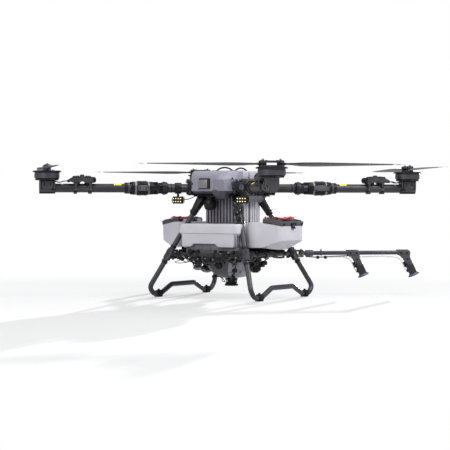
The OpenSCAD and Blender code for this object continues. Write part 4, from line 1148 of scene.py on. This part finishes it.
def tank_middle():
    """The tank between the lobes: front band, lower panel with its cut-out, and the rear."""
    bm = new_part()
    block(bm, (-LOBE_X0, -158, TANK_LOW), (LOBE_X0, 158, TANK_TOP), 12)
    block(bm, (-172, 100, TANK_LOW + 2), (172, 239, TANK_TOP - 2), 16)
    block(bm, (-176, -214, TANK_LOW + 22), (176, -100, TANK_TOP - 2), 16)

    def band(z, front, half, reach):
        """Outline of the front band at one height, its front corners rounded."""
        ring = [(half, -150, z), (half, front, z), (-half, front, z), (-half, -150, z)]
        return rounded_route(ring, (reach, reach))

    bands = ((374, -232, 204, 20), (384, -252, 214, 24), (434, -246, 211, 24), (440, -238, 204, 20))
    loft(bm, [band(*sizes) for sizes in bands], rounding=4, steps=4, sharp_from=18)
    for s in (-1, 1):
        loft(bm, [[(s * x, y, 386) for x, y in ((212, -236), (160, -249), (160, -170), (214, -170))],
                  [(s * x, y, 340) for x, y in ((197, -214), (160, -228), (160, -170), (206, -170))],
                  [(s * x, y, 304) for x, y in ((190, -196), (160, -206), (160, -160), (204, -160))]],
             rounding=9, steps=4)
    low, cut = TANK_LOW + 1, TANK_LOW + 20
    face = [(-190, low), (-128, low), (-106, cut), (46, cut), (68, low), (179, low), (183, 384), (-194, 384)]
    plate(bm, face, 216, 246, 5, steps=4, place=spun("X", 90))
    for s in (-1, 1):
        for y in (-158, 158):
            rod(bm, (s * 186, y, TANK_LOW + 4), (s * 186, y, TANK_TOP - 3), 28, sides=40, rounding=6)
    piece("tank_middle", bm, "tank_plastic", "root", smooth=50)
    bm = new_part()
    block(bm, (-150, -226, TANK_LOW - 22), (90, -206, TANK_LOW + 26), 4)
    for x in (-120, -60, 0, 60):
        block(bm, (x - 3, -229, TANK_LOW - 20), (x + 3, -224, TANK_LOW + 16), 1.5)
    piece("tank_recess", bm, "tray_grey", "root")
    bm = new_part()
    for s in (-1, 1):
        for y in (-90, 60):
            lug = on_lid(s)
            block(bm, (-15, y, -8), (-1, y + 30, 6), 2, place=lug)
            rod(bm, (-8, y, 8), (-8, y + 30, 8), 7, sides=28, rounding=1, place=lug)
        for y in (-130, 118):
            block(bm, (s * 236 - 10, y - 8, 446), (s * 236 + 10, y + 8, 452), 2)
    piece("tank_lugs", bm, "tank_plastic", "root")


def lid(word, side):
    """Black moulded lid with a deep skirt, a raised rim, ribs and a filler cap, riding on its own hinge."""
    bm = new_part()
    place = on_lid(side)
    depth, half = 132, 130

    def oval(inset):
        """The lid's outline, drawn in by inset, with wide outer and small inner corners."""
        points = []
        outer, inner = 20 - inset * 0.6, 7
        for cx, cy, r, start in ((depth - inset - outer, half - inset - outer, outer, 0),
                                 (inset + inner + 0.6, half - inset - inner, inner, 90),
                                 (inset + inner + 0.6, -half + inset + inner, inner, 180),
                                 (depth - inset - outer, -half + inset + outer, outer, 270)):
            turns = [math.radians(start + 18 * k) for k in range(6)]
            points += [(cx + r * math.cos(a), cy + r * math.sin(a)) for a in turns]
        return points

    plate(bm, oval(1.5), 0.5, 9, 1, place=place)
    plate(bm, oval(0.5), 7, 25, 2.4, steps=3, place=place)
    plate(bm, oval(9), 23, 27.5, 1.2, place=place)
    for s in (-1, 1):
        block(bm, (16, s * 110 - 4, 22), (118, s * 110 + 4, 31), 2, place=place)
    piece("lid_" + word + "_shape", bm, "lid_plastic", "lid_" + word, ["lid_" + word])
    bm = new_part()
    for k in range(7):
        y = (k - 3) * 30
        block(bm, (18, y - 2, 26), (44, y + 2, 30.5), 1.2, place=place)
        block(bm, (100, y - 2, 26), (122, y + 2, 30.5), 1.2, place=place)
    for s in (-1, 1):
        block(bm, (50, s * 68 - 5, 24), (66, s * 68 + 5, 40), 2, place=place)
        block(bm, (14, s * 88 - 10, 26), (34, s * 88 + 10, 33), 2, place=place)
    turned(bm, [(0, 31), (36, 31), (40, 29), (42, 23), (0, 23)], sides=40,
           place=place @ shift(74, 0, 0))
    for k in range(12):
        grip = place @ shift(74, 0, 0) @ spun("Z", 360 * k / 12)
        block(bm, (38, -3, 23), (44, 3, 30), 1, place=grip)
    for y in (-102, -47, 33, 103):
        block(bm, (-12, y - 7, 4), (5, y + 7, 13), 2, place=place)
    rod(bm, (-8, -110, 8), (-8, 110, 8), 3, sides=20, place=place)
    for y in (-21, 21):
        block(bm, (depth - 6, y - 3, 7), (depth + 9, y + 3, 20), 1.5, place=place)
    for y in (-96, 96):
        block(bm, (depth - 8, y - 12, 4), (depth + 2, y + 12, 16), 2, place=place)
    piece("lid_fittings_" + word, bm, "black_plastic", "lid_" + word)
    bm = new_part()
    block(bm, (-3, -107, 10), (0.5, -95, 34), 1, place=place)
    block(bm, (-3, -106, 31), (22, -96, 34.5), 1.4, place=place)
    block(bm, (19, -105, 26), (24, -97, 34), 1.4, place=place)
    piece("lid_strap_" + word, bm, "red_plastic", "lid_" + word)


def lid_handle(word, side):
    """Red carrying strap standing over the lid on its two pins."""
    place = on_lid(side)
    bm = new_part()
    outline = [(56, -84), (82, -84), (92, -74), (92, 74), (82, 84), (56, 84)]
    inner = [(56, 77), (79, 77), (85, 71), (85, -71), (79, -77), (56, -77)]
    plate(bm, outline + inner, 38.5, 43.5, 2, steps=3, place=place)
    strap_leg = [(52, 32), (64, 32), (68, 38), (66, 43), (56, 43), (52, 38)]
    upright = Matrix(((1, 0, 0, 0), (0, 0, 1, 0), (0, 1, 0, 0), (0, 0, 0, 1)))
    for s in (-1, 1):
        plate(bm, strap_leg, s * 80.5 - 3.2, s * 80.5 + 3.2, 1.5, place=place @ upright)
        rod(bm, (58, s * 74, 36), (58, s * 87, 36), 6, sides=24, rounding=1.5, place=place)
        rod(bm, (58, s * 62, 36), (58, s * 76, 36), 2.5, sides=20, place=place)
    piece("lid_handle_" + word + "_shape", bm, "red_plastic", "lid_handle_" + word,
          ["lid_handle_" + word])


def lid_latch(word, side):
    """Over-centre catch on the lid's outer edge."""
    softened("lid_latch_" + word, ["black_plastic"], rounding=1.5)
    bm = new_part()
    place = on_lid(side)
    for z in (-8, -2, 4):
        block(bm, (137.4, -11, z - 1.4), (139.4, 11, z + 1.4), 0.8, place=place)
    piece("latch_grip_" + word, bm, "steel", "lid_latch_" + word)


# ---------- under the tank ----------


def drip_tray():
    """Grey tray between the tank and the front tube of the lower frame."""
    bm = new_part()
    block(bm, (-176, -222, 266), (226, -150, TANK_LOW + 2), 3)
    for x in (-150, 96, 190):
        hex_bolt(bm, shift(x, -222, 280) @ spun("X", 90), 9, 4)
    piece("drip_tray", bm, "tray_grey", "root")


def sump():
    """Grey bowl under the tank with stiffening ribs, pump ports and its neck."""
    bm = new_part()

    def ring(width, z, cut):
        """A square outline of the bowl with its corners cut off."""
        w = width / 2
        c = cut * width / 298
        return [(-w + c, -w, z), (w - c, -w, z), (w, -w + c, z), (w, w - c, z), (w - c, w, z), (-w + c, w, z),
                (-w, w - c, z), (-w, -w + c, z)]

    bowl = [(84, 114, 60), (138, 119, 66), (190, 135, 72), (236, 162, 72), (266, 196, 66), (288, 232, 56),
            (298, 266, 48)]
    loft(bm, [ring(width, z, cut) for width, z, cut in bowl], rounding=7, steps=3, sharp_from=24)
    # The bowl's +X half takes a lighter copy of its grey: painted light on the side towards the key lamp.
    tint_where(bm, lambda p: 1 if p.x > 34 else 0)
    before = set(bm.faces)
    turned(bm, [(0, 90.5), (24, 90.5), (26, 92), (26, 118), (0, 118)])
    for z, r in ((150, 112), (214, 138)):
        for s in (-1, 1):
            block(bm, (-r * 0.6, s * (r - 8) - 5, z), (r * 0.6, s * (r - 8) + 5, z + 5), 2)
            block(bm, (s * (r - 8) - 5, -r * 0.6, z), (s * (r - 8) + 5, r * 0.6, z + 5), 2)
    tint(added(bm, before), 0)
    piece("sump_bowl", bm, ["sump_grey", "sump_painted_light"], "root", ["sump"], smooth=55)
    bm = new_part()
    for s in (-1, 1):
        for y in (-60, 60):
            block(bm, (s * 128 - 22, y - 24, 214), (s * 128 + 22, y + 24, 240), 5)
            rod(bm, (s * 146, y, 226), (s * 168, y, 226), 11, sides=28, rounding=2)
        rod(bm, (0, s * 112, 196), (0, s * 146, 190), 22, sides=36, rounding=3)
        block(bm, (s * 86 - 12, -s * 96 - 12, 150), (s * 86 + 12, -s * 96 + 12, 174), 4)
        rod(bm, (s * 60, -70, 126), (s * 78, -92, 120), 9, sides=24, rounding=2)
    rod(bm, (0, 0, 92), (0, 0, 114), 27, sides=40, rounding=2)
    for k in range(3):
        arm = spun("Z", 360 * k / 3)
        block(bm, (20, -5, 102), (42, 5, 112), 2, place=arm)
        rod(bm, (36, 0, 82), (36, 0, 110), 3, sides=16, place=arm)
    piece("sump_fittings", bm, "black_plastic", "root")


def ground_radar():
    """Round height radar under the bowl's neck."""
    bm = new_part()
    turned(bm, [(0, 66.3), (38, 66.3), (41, 69), (41, 77), (38, 80), (30, 81), (29.5, 90), (0, 90)])
    piece("ground_radar", bm, "black_plastic", "root", ["terrain_radar"])


def pumps():
    """Finned pump motors beside the bowl, with their brackets."""
    softened("pumps", ["black_plastic"], rounding=2.5, steps=3)
    bm = new_part()
    for s in (-1, 1):
        centre = shift(s * 182, -s * 18, 0)
        for k in range(12):
            block(bm, (28, -2, 164), (33, 2, 206), 1, place=centre @ spun("Z", 360 * k / 12))
        for z in (168, 180, 192, 204):
            rod(bm, (0, 0, z), (0, 0, z + 3), 34.5, sides=40, rounding=0.8, place=centre)
        rod(bm, (0, 0, 150), (0, 0, 160), 20, sides=32, rounding=3, place=centre)
        rod(bm, (-6, -30, 176), (-6, -58, 170), 10, sides=24, rounding=2, place=centre)
        block(bm, (14, 20, 182), (40, 46, 214), 5, place=centre)
        block(bm, (-44, -6, 190), (-26, 22, 222), 4, place=centre)
        rod(bm, (24, -26, 196), (24, -26, 232), 9, sides=24, rounding=2, place=centre)
    piece("pump_ribs", bm, "dark_metal", "root")


def hoses():
    """Spray hoses from the pumps and the tank's outlets to the lower frame."""
    routes = []
    for s in (-1, 1):
        routes.append(([(s * 182, -s * 66, 172), (s * 182, -s * 84, 172), (s * 188, -s * 112, 180),
                        (s * 206, -s * 150, 214), (s * 206, -s * 186, 236), (s * 196, -s * 222, 238)], 13.6))
        routes.append(([(s * 110, 190, 262), (s * 150, 205, 240), (s * 205, 216, 232),
                        (s * 235, 222, 236)], 11.6))
    for k, (points, d) in enumerate(routes):
        cable(f"spray_hose_{k}", points, d, "hose_dark", "root",
              stands_for=["hoses"] if k == 0 else ())


def strut_leads():
    """Leads bundled round the front left strut, and two hoses down its outer side."""
    outer_side = Vector((-0.829, -0.559, 0))
    routes = []
    for k in range(8):
        a = math.tau * k / 8
        ring = Vector((math.cos(a), math.sin(a), 0)) * 21
        points = []
        for i, z in enumerate((612, 580, 552, 520, 492, 462, 440)):
            sway = Vector((math.cos(2.1 * i + 1.7 * k), math.sin(1.6 * i + 2.3 * k), 0)) * 7
            points.append(on_leg(leg_at(z), 1, -1) + ring * (1.15 - 0.05 * i) + sway)
        routes.append((points, (7, 5, 6, 4.5)[k % 4]))
    for k, out in enumerate((25, 30)):
        points = []
        for i, z in enumerate((470, 430, 390, 350, 310, 268)):
            sway = outer_side * (out + 3 * math.sin(1.9 * i + k)) + Vector((0, 4 - 6 * k, 0))
            points.append(on_leg(leg_at(z), 1, -1) + sway)
        routes.append((points, 9 - 2.5 * k))
    routes.append((slack((178, -150, 600), on_leg(leg_at(560), 1, -1) + outer_side * 30, 8, 4, 1.0), 6))
    bundle("strut_leads", routes, "hose_dark", "root")


def hang(x):
    """How far the front hoses hang from the tube: lower in the middle than at the ends."""
    return (-48, -18) if -100 < x < 100 else (-28, 20)


def front_hoses(wander):
    """Slack hoses along the front tube of the lower frame, and some that run back to the bowl."""
    corner = leg_at(LOWER_Z)
    routes = []
    for k in range(16):
        x = -250 + 30 * k
        length = wander.uniform(70, 170)
        y = -corner.y - wander.uniform(-10, 12)
        z = LOWER_Z + wander.uniform(*hang(x))
        end = (min(x + length, 262), y + wander.uniform(-8, 10), LOWER_Z + wander.uniform(*hang(x + length)))
        points = slack((x, y, z), end, wander.uniform(5, 12), 5, wander.uniform(0, 6))
        routes.append((points, wander.choice((5, 6, 8, 10))))
    for k in range(9):
        x, s = -170 + 42 * k, 1 if k % 2 else -1
        end = (x * 0.6 + 20 * s, -120 - 8 * (k % 3), 214 - 9 * (k % 4))
        routes.append((slack((x, -corner.y + 8, LOWER_Z - 8), end, 12, 4, 0.9 * k), (6, 8, 10)[k % 3]))
    bundle("front_hoses", routes, "hose_dark", "root")


def side_hoses():
    """Slack hoses along both side tubes and in to the pumps."""
    corner = leg_at(LOWER_Z)
    routes = []
    side_leads = ((14, -18, 6), (-20, 16, 8), (18, -24, 5), (-14, 10, 7), (-22, -14, 9))
    for s in (-1, 1):
        for k, (rise, fall, width) in enumerate(side_leads):
            y = -230 + 26 * k
            start = (s * (corner.x + 2), y, LOWER_Z + rise)
            end = (s * (corner.x + 4), y + 120 + 20 * k, LOWER_Z + fall)
            routes.append((slack(start, end, 8, 5, k), width))
        for k in range(4):
            y = -110 + 40 * k
            end = (s * (196 + 14 * (k % 2)), y + 44, 180 + 14 * k)
            routes.append((slack((s * 150, y, 240), end, 13, 4, 1.3 * k), 7))
        routes.append((slack((s * corner.x, -190, LOWER_Z - 8), (s * 186, -52, 176), 14, 5, 0.5), 9))
        routes.append((slack((s * corner.x, -210, LOWER_Z - 8), (s * 168, -120, 204), 12, 5, 2.5), 6))
    bundle("side_hoses", routes, "hose_dark", "root")


def sump_leads():
    """Thin leads to the height radar and the bowl's sensors."""
    routes = [(slack((150, -150, 230), (38, -60, 106), 5, 5, 3.4), 6.5),
              (slack((-96, -150, 250), (-24, -30, 92), 10, 6, 0.2), 5),
              (slack((120, -120, 250), (86, -96, 160), 10, 4, 1.2), 6),
              (slack((-60, -92, 128), (-20, -26, 92), 9, 4, 2.2), 4.5),
              ([(-200, -200, 230), (-244, -214, 216), (-268, -206, 208), (-250, -196, 203),
                (-196, -186, 208)], 4)]
    bundle("sump_leads", routes, "hose_dark", "root")


def hose_fittings(wander):
    """Valves, sleeves, elbows and joints that the hoses run through."""
    corner = leg_at(LOWER_Z)
    sleeves = ((-236, 8), (-214, -12), (-196, 10), (-178, -16), (214, -10), (236, 10))
    elbows = ((150, -150, 226), (176, -96, 214), (204, -110, 226), (120, -176, 232), (196, 60, 204))
    bm = new_part()
    for k in range(15):
        x = -240 + 33 * k
        y = -corner.y - wander.uniform(4, 16)
        z = LOWER_Z + wander.uniform(*hang(x))
        reach = wander.uniform(9, 17)
        rod(bm, (x - reach, y, z), (x + reach, y, z), wander.uniform(7, 11), sides=20, rounding=2)
        rod(bm, (x, y, z - reach), (x, y - 3, z + reach), wander.uniform(5, 8), sides=16, rounding=1.5)
        rod(bm, (x - 5, y, z), (x + 4, y, z), 13, sides=6, rounding=1.5)
    for s in (-1, 1):
        for k, (y, rise) in enumerate(sleeves):
            x, z = s * corner.x, LOWER_Z + rise
            rod(bm, (x, y - 12, z), (x, y + 12, z), 13 + k % 3, sides=24, rounding=2)
            x -= s * 8
            block(bm, (x - 8, y - 8, z - 18), (x + 8, y + 8, z + 16), 3)
        for x, y, z in elbows:
            block(bm, (s * x - 14, y - 12, z - 12), (s * x + 14, y + 12, z + 12), 4)
            rod(bm, (s * x, y - 20, z), (s * x, y + 20, z), 8, sides=20, rounding=2)
    for z, turn in ((596, 0.4), (572, 2.6), (548, 4.4), (520, 1.2), (498, 3.4), (470, 5.2)):
        p = on_leg(leg_at(z), 1, -1) + Vector((math.cos(turn), math.sin(turn), 0)) * 24
        rod(bm, p - Vector((0, 0, 13)), p + Vector((0, 0, 11)), 7.5, sides=20, rounding=2)
        rod(bm, p - Vector((0, 0, 3)), p + Vector((0, 0, 4)), 10, sides=6, rounding=1.5)
    piece("hose_fittings", bm, "black_plastic", "root")


def hose_clips():
    """Bright clips and nuts on the front hoses and the strut leads."""
    corner = leg_at(LOWER_Z)
    bm = new_part()
    for k in range(9):
        x = -212 + 54 * k
        y, z = -corner.y - 15, LOWER_Z + (14, -12, 18, -24, -20, -26, 8, 16, -10)[k]
        rod(bm, (x - 5, y - 4, z), (x + 5, y - 4, z), 5.5, sides=6, rounding=1)
    for z, turn in ((586, 3.6), (560, 4.6), (534, 3.9), (508, 4.9), (452, 4.2), (330, 4.0)):
        p = on_leg(leg_at(z), 1, -1) + Vector((math.cos(turn), math.sin(turn), 0)) * 31
        rod(bm, p - Vector((0, 0, 5)), p + Vector((0, 0, 5)), 4.5, sides=12, rounding=1)
    piece("hose_clips", bm, "silver_metal", "root")


def power_plug():
    """Red battery plug and its small tag."""
    bm = new_part()
    block(bm, (130, -104, 700), (142, -96, 714), 2)
    block(bm, (212, -196, 612), (224, -188, 619), 2)
    piece("power_plug", bm, "red_plastic", "root")


def loom():
    """Small leads, hoses and fittings clipped along the frame, the struts and under the tank."""
    wander = random.Random(11)
    strut_leads()
    front_hoses(wander)
    side_hoses()
    sump_leads()
    hose_fittings(wander)
    hose_clips()
    power_plug()


# ---------- booms ----------

BOOM_ROOT, BOOM_INNER, BOOM_LENGTH = 50, 340, 660
NOZZLE_LEAN = 25
NOZZLE_LEG = 112


def boom_place(side):
    """The boom's own frame: X along the boom from its fold pin."""
    corner = leg_at(LOWER_Z)
    return (shift(side * corner.x, corner.y, 0) @ spun("Z", 45 if side > 0 else 135)
            @ shift(BOOM_ROOT, 0, 0))


def nozzle_place(r):
    """A spray head's own frame on the boom, Z down the head."""
    return shift(r, 0, LOWER_Z - 24) @ spun("Y", 180 - NOZZLE_LEAN)


def boom(word, side):
    """Spray boom: carbon tube, clamped brackets with swept gussets, round spray heads and their hoses."""
    place = boom_place(side)
    body = "boom_" + word
    lean = math.tan(math.radians(NOZZLE_LEAN))
    bm = new_part()
    rod(bm, (20, 0, LOWER_Z), (BOOM_LENGTH + 24, 0, LOWER_Z), 12.5, sides=40, rounding=1)
    piece(f"boom_{word}_tube", bm, "gear_carbon", body, ["boom_" + word], place=place)
    bm = new_part()
    rod(bm, (0, 0, LOWER_Z - 11), (0, 0, LOWER_Z + 11), 16, sides=36, rounding=2)
    rod(bm, (0, 0, LOWER_Z - 26), (0, 0, LOWER_Z + 26), 5, sides=24)
    block(bm, (0, -10, LOWER_Z - 11), (26, 10, LOWER_Z + 11), 3)
    rod(bm, (24, 0, LOWER_Z), (74, 0, LOWER_Z), 18, sides=36, rounding=3)
    for x in (32, 48, 64):
        rod(bm, (x, 0, LOWER_Z), (x + 6, 0, LOWER_Z), 19.5, sides=36, rounding=1.5)
    block(bm, (118, -13, LOWER_Z - 15), (130, 13, LOWER_Z + 15), 3)
    rod(bm, (124, 0, LOWER_Z + 13), (124, 0, LOWER_Z + 24), 4, sides=20)
    upright = spun("X", 90)

    def leg(x, drop):
        """A point beside the leaning spray head, below the boom."""
        return (x + drop * lean, -14 - drop)

    gusset = [(-52, 14), (-52, -4), (-46, -12), (-36, -15), (-28, -20), (-21, -28), leg(-22, 20),
              leg(-19, 36), leg(-18, 60), leg(18, 60), leg(18, 14), (27, -2), (24, 10), (16, 14)]
    for r in (BOOM_INNER, BOOM_LENGTH):
        plate(bm, [(r + x, LOWER_Z + z) for x, z in gusset], -15, 15, 4, steps=3, place=upright)
        for s in (-1, 1):
            block(bm, (r - 46, s * 14 - 4, LOWER_Z - 11), (r + 14, s * 14 + 4, LOWER_Z + 13), 2.5)
    piece(f"boom_{word}_brackets", bm, "boom_grey", body, place=place)
    bm = new_part()
    for r in (BOOM_INNER, BOOM_LENGTH):
        turned(bm, [(0, 44), (19, 44), (23, 50), (24.5, 60), (24.5, 104), (23, 110), (12, 112), (0, 112)],
               place=nozzle_place(r), sides=44)
    piece(f"boom_{word}_heads", bm, "cast_metal", body, place=place)
    bm = new_part()
    for r in (BOOM_INNER, BOOM_LENGTH):
        for drop, size in ((46, 8), (62, 6), (92, 7)):
            centre = Vector((r - 31 + drop * lean, 0, LOWER_Z - 20 - drop))
            rod(bm, centre + Vector((-3, 0, 8)), centre + Vector((3, 0, -8)), size, sides=24, rounding=2)
        for x, z in ((-34, -2), (4, -2), (20 * lean, -40)):
            for s in (-1, 1):
                hex_bolt(bm, shift(r + x, s * (18 if z > -10 else 15), LOWER_Z + z)
                         @ spun("X", -90 * s), 8, 3.5)
    for x in (104, 152):
        rod(bm, (x - 9, 0, LOWER_Z - 26), (x + 9, 0, LOWER_Z - 26), 8, sides=28, rounding=2)
        rod(bm, (x, 0, LOWER_Z - 36), (x, 0, LOWER_Z - 16), 5, sides=20, rounding=1.5)
    piece(f"boom_{word}_couplings", bm, "black_plastic", body, place=place)
    line = [(30, 0, LOWER_Z - 21), (110, 0, LOWER_Z - 25), (200, 0, LOWER_Z - 21), (298, 0, LOWER_Z - 18)]
    cable(f"boom_{word}_line", line, 7, "hose_dark", body, place)
    routes = []
    for r, start in ((BOOM_INNER, 160), (BOOM_LENGTH, 300)):
        routes.append(([(start, 0, LOWER_Z - 25), (r - 70, 0, LOWER_Z - 28), (r - 40, 0, LOWER_Z - 38),
                        (r - 22, 0, LOWER_Z - 60), (r - 6, 0, LOWER_Z - 96), (r + 14, 0, LOWER_Z - 118)], 7))
    bundle(f"boom_{word}_feeds", routes, "hose_clear", body, place)


def spray_disc(word, side, where):
    """Toothed spinning disc under a spray head."""
    r = BOOM_INNER if where == "inner" else BOOM_LENGTH
    head = boom_place(side) @ nozzle_place(r)
    bm = new_part()
    z = NOZZLE_LEG + 0.4
    dish = [(0, z), (24.5, z), (27, z + 2), (34, z + 10), (34, z + 13.4), (31, z + 14), (0, z + 14)]
    turned(bm, dish, sides=56)
    for k in range(40):
        tooth = spun("Z", 360 * k / 40)
        block(bm, (32, -1.2, z + 10), (35.4, 1.2, z + 13.8), 0.5, place=tooth)
    rod(bm, (0, 0, z - 20), (0, 0, z + 1), 4, sides=24)
    rod(bm, (0, 0, z + 12), (0, 0, z + 14), 9, sides=6)
    node = f"spray_disc_{word}_{where}"
    piece(node + "_shape", bm, "disc_grey", node, [node], place=head)


# ---------- lights ----------

LAMP_R, LAMP_Z = 325, 579.5
LENS_PITCH = 17.6


def work_lights():
    """Two lamp boxes hung from the front arms, each with eight bright lenses, and their leads."""
    softened("work_lights", ["black_plastic"], rounding=2)
    for arm in ("fr", "fl"):
        a = math.radians(ARMS[arm])
        middle = Vector((LAMP_R * math.cos(a), LAMP_R * math.sin(a), 0))
        centre = shift(*middle)
        bm = new_part()
        for row in (-1, 1):
            for k in range(4):
                x, z = (k - 1.5) * LENS_PITCH, LAMP_Z + row * 9.2
                turned(bm, [(0, 2.6), (2.4, 2), (3.8, 0.5), (3.8, -1), (0, -1)], sides=16,
                       place=centre @ shift(x, -11, z) @ spun("X", 90))
        piece("lamp_lenses_" + arm, bm, "lamp", "root")
        bm = new_part()
        for z in (LAMP_Z - 12.5, LAMP_Z, LAMP_Z + 12.5):
            block(bm, (-35, -12.6, z - 1.6), (35, -10, z + 1.6), 0.8, place=centre)
        for k in range(5):
            x = (k - 2) * LENS_PITCH
            block(bm, (x - 2, -12.6, 567), (x + 2, -10, 592), 0.8, place=centre)
            block(bm, (x - 2, 10, 564), (x + 2, 15, 596), 1, place=centre)
        piece("lamp_fins_" + arm, bm, "black_plastic", "root")
        side = 1 if arm == "fl" else -1
        bends = ((30, 4, 582), (52, 22, 584), (78, 44, 596), (92, 62, 612))
        lead = [middle + Vector((-side * x, y, z)) for x, y, z in bends]
        cable("lamp_lead_" + arm, lead, 5, "hose_dark", "root")


def build_drone():
    """Every piece, from the arms down to the hoses."""
    arm_set()
    centre_frame()
    socket_fittings()
    front_shell()
    sensor_window()
    radar()
    battery("battery_front", -100, 10)
    battery("battery_rear", 18, 128)
    battery_handles()
    for name, x in (("landing_leg_left", 1), ("landing_leg_right", -1)):
        landing_leg(name, x)
    foot_pads()
    lower_frame()
    tank_middle()
    for word, side in SIDES.items():
        tank_lobe(side)
        lid(word, side)
        lid_handle(word, side)
        lid_latch(word, side)
        boom(word, side)
        for where in ("inner", "outer"):
            spray_disc(word, side, where)
    drip_tray()
    sump()
    ground_radar()
    pumps()
    hoses()
    loom()
    work_lights()


build_drone()

# ---------- floor, light and camera, in metres ----------

SUN_BACK = Vector((-0.256, 0.951, 0.174))
SHADOW_MIDDLE = (0.33, -1.24, 0)
FLOOR_TONE = (0.62, 0.62, 0.63, 1)
FLOOR_TONE_SEEN = (0.725, 0.725, 0.735, 1)
FLOOR_HALF = 30
LAMPS_AIM = 0.45


def paper_floor():
    """A pale paper floor, white away from the drone, that keeps the drone's shadow and leans its shading
    towards the low sun."""
    bm = bmesh.new()
    bmesh.ops.create_grid(bm, x_segments=2, y_segments=2, size=FLOOR_HALF)
    mesh = bpy.data.meshes.new("paper_floor")
    bm.to_mesh(mesh)
    bm.free()
    floor = bpy.data.objects.new("paper_floor", mesh)
    bpy.context.scene.collection.objects.link(floor)
    f = Finish("paper_floor")
    f.socket("Roughness", 0.9)
    f.socket("Specular IOR Level", 0.0)
    tilt = f.nodes.new("ShaderNodeCombineXYZ")
    for key, value in zip("XYZ", (SUN_BACK * 0.8 + Vector((0, 0, 0.6))).normalized()):
        tilt.inputs[key].default_value = value
    f.links.new(tilt.outputs["Vector"], f.shader.inputs["Normal"])
    path = f.nodes.new("ShaderNodeLightPath")
    seen = f.math("MAXIMUM", f.math("MAXIMUM", path.outputs["Is Camera Ray"], path.outputs["Is Glossy Ray"]),
                  path.outputs["Is Transmission Ray"])
    f.join(f.ramp(seen, [(0, FLOOR_TONE), (1, FLOOR_TONE_SEEN)], smooth=False), "Base Color")
    apart = f.nodes.new("ShaderNodeVectorMath")
    apart.operation = "DISTANCE"
    apart.inputs[1].default_value = SHADOW_MIDDLE
    f.links.new(f.place, apart.inputs[0])
    ease = f.nodes.new("ShaderNodeMapRange")
    for key, value in (("From Min", 2.3), ("From Max", 3.8), ("To Min", 0.5), ("To Max", 1.0)):
        ease.inputs[key].default_value = value
    f.links.new(apart.outputs["Value"], ease.inputs["Value"])
    share = f.math("MULTIPLY", seen, ease.outputs["Result"])
    light = f.nodes.new("ShaderNodeEmission")
    light.inputs["Color"].default_value = (1, 1, 1, 1)
    light.inputs["Strength"].default_value = 1.0
    mix = f.nodes.new("ShaderNodeMixShader")
    f.links.new(share, mix.inputs["Fac"])
    f.links.new(f.shader.outputs["BSDF"], mix.inputs[1])
    f.links.new(light.outputs["Emission"], mix.inputs[2])
    f.links.new(mix.outputs["Shader"], f.nodes["Material Output"].inputs["Surface"])
    mesh.materials.append(f.material)


def studio_world():
    """Even studio surround, seen as white."""
    world = bpy.data.worlds.new("studio")
    world.use_nodes = True
    nodes, links = world.node_tree.nodes, world.node_tree.links
    surround = nodes["Background"]
    surround.inputs["Color"].default_value = (0.96, 0.98, 1.0, 1)
    surround.inputs["Strength"].default_value = 0.42
    backdrop = nodes.new("ShaderNodeBackground")
    backdrop.inputs["Color"].default_value = (1, 1, 1, 1)
    backdrop.inputs["Strength"].default_value = 1.0
    path = nodes.new("ShaderNodeLightPath")
    seen = nodes.new("ShaderNodeMath")
    seen.operation = "MAXIMUM"
    links.new(path.outputs["Is Camera Ray"], seen.inputs[0])
    links.new(path.outputs["Is Transmission Ray"], seen.inputs[1])
    mix = nodes.new("ShaderNodeMixShader")
    links.new(seen.outputs[0], mix.inputs["Fac"])
    links.new(surround.outputs["Background"], mix.inputs[1])
    links.new(backdrop.outputs["Background"], mix.inputs[2])
    links.new(mix.outputs["Shader"], nodes["World Output"].inputs["Surface"])
    bpy.context.scene.world = world


def softbox(name, azimuth, elevation, distance, size, watts):
    """A square area lamp aimed at the middle of the drone. Azimuth 0 is in front of the nose."""
    lamp = bpy.data.lights.new(name, "AREA")
    lamp.energy = watts
    lamp.shape = "SQUARE"
    lamp.size = size
    a, e = math.radians(azimuth), math.radians(elevation)
    back = Vector((math.sin(a) * math.cos(e), -math.cos(a) * math.cos(e), math.sin(e)))
    holder = bpy.data.objects.new(name, lamp)
    holder.location = Vector((0, 0, LAMPS_AIM)) + back * distance
    holder.rotation_euler = back.to_track_quat("Z", "Y").to_euler()
    bpy.context.scene.collection.objects.link(holder)


def low_sun():
    """A weak, low sun from behind that draws the long shadow on the floor."""
    lamp = bpy.data.lights.new("low_sun", "SUN")
    lamp.energy = 3.5
    lamp.angle = math.radians(1.2)
    holder = bpy.data.objects.new("low_sun", lamp)
    holder.rotation_euler = SUN_BACK.to_track_quat("Z", "Y").to_euler()
    bpy.context.scene.collection.objects.link(holder)


CAMERA_AZIMUTH = math.radians(34)
CAMERA_LENS = 113.1
CAMERA_DISTANCE = 8.484
CAMERA_HEIGHT = 0.568
AIM_ASIDE = -0.0396
AIM_HEIGHT = 0.430


def viewpoint():
    """The camera, in front of the drone's left side and a little above it."""
    camera = bpy.data.cameras.new("camera")
    camera.sensor_width = 36
    camera.lens = CAMERA_LENS
    camera.clip_end = 100
    holder = bpy.data.objects.new("camera", camera)
    a = CAMERA_AZIMUTH
    holder.location = (math.sin(a) * CAMERA_DISTANCE, -math.cos(a) * CAMERA_DISTANCE, CAMERA_HEIGHT)
    aim = Vector((math.cos(a) * AIM_ASIDE, math.sin(a) * AIM_ASIDE, AIM_HEIGHT))
    holder.rotation_euler = (holder.location - aim).to_track_quat("Z", "Y").to_euler()
    bpy.context.scene.collection.objects.link(holder)
    bpy.context.scene.camera = holder


paper_floor()
studio_world()
softbox("key", azimuth=95, elevation=42, distance=6, size=3.0, watts=300)
softbox("fill", azimuth=-5, elevation=30, distance=7, size=4.0, watts=235)
softbox("top", azimuth=60, elevation=85, distance=6, size=4.0, watts=182)
low_sun()
viewpoint()
bpy.context.scene.view_settings.view_transform = "Standard"
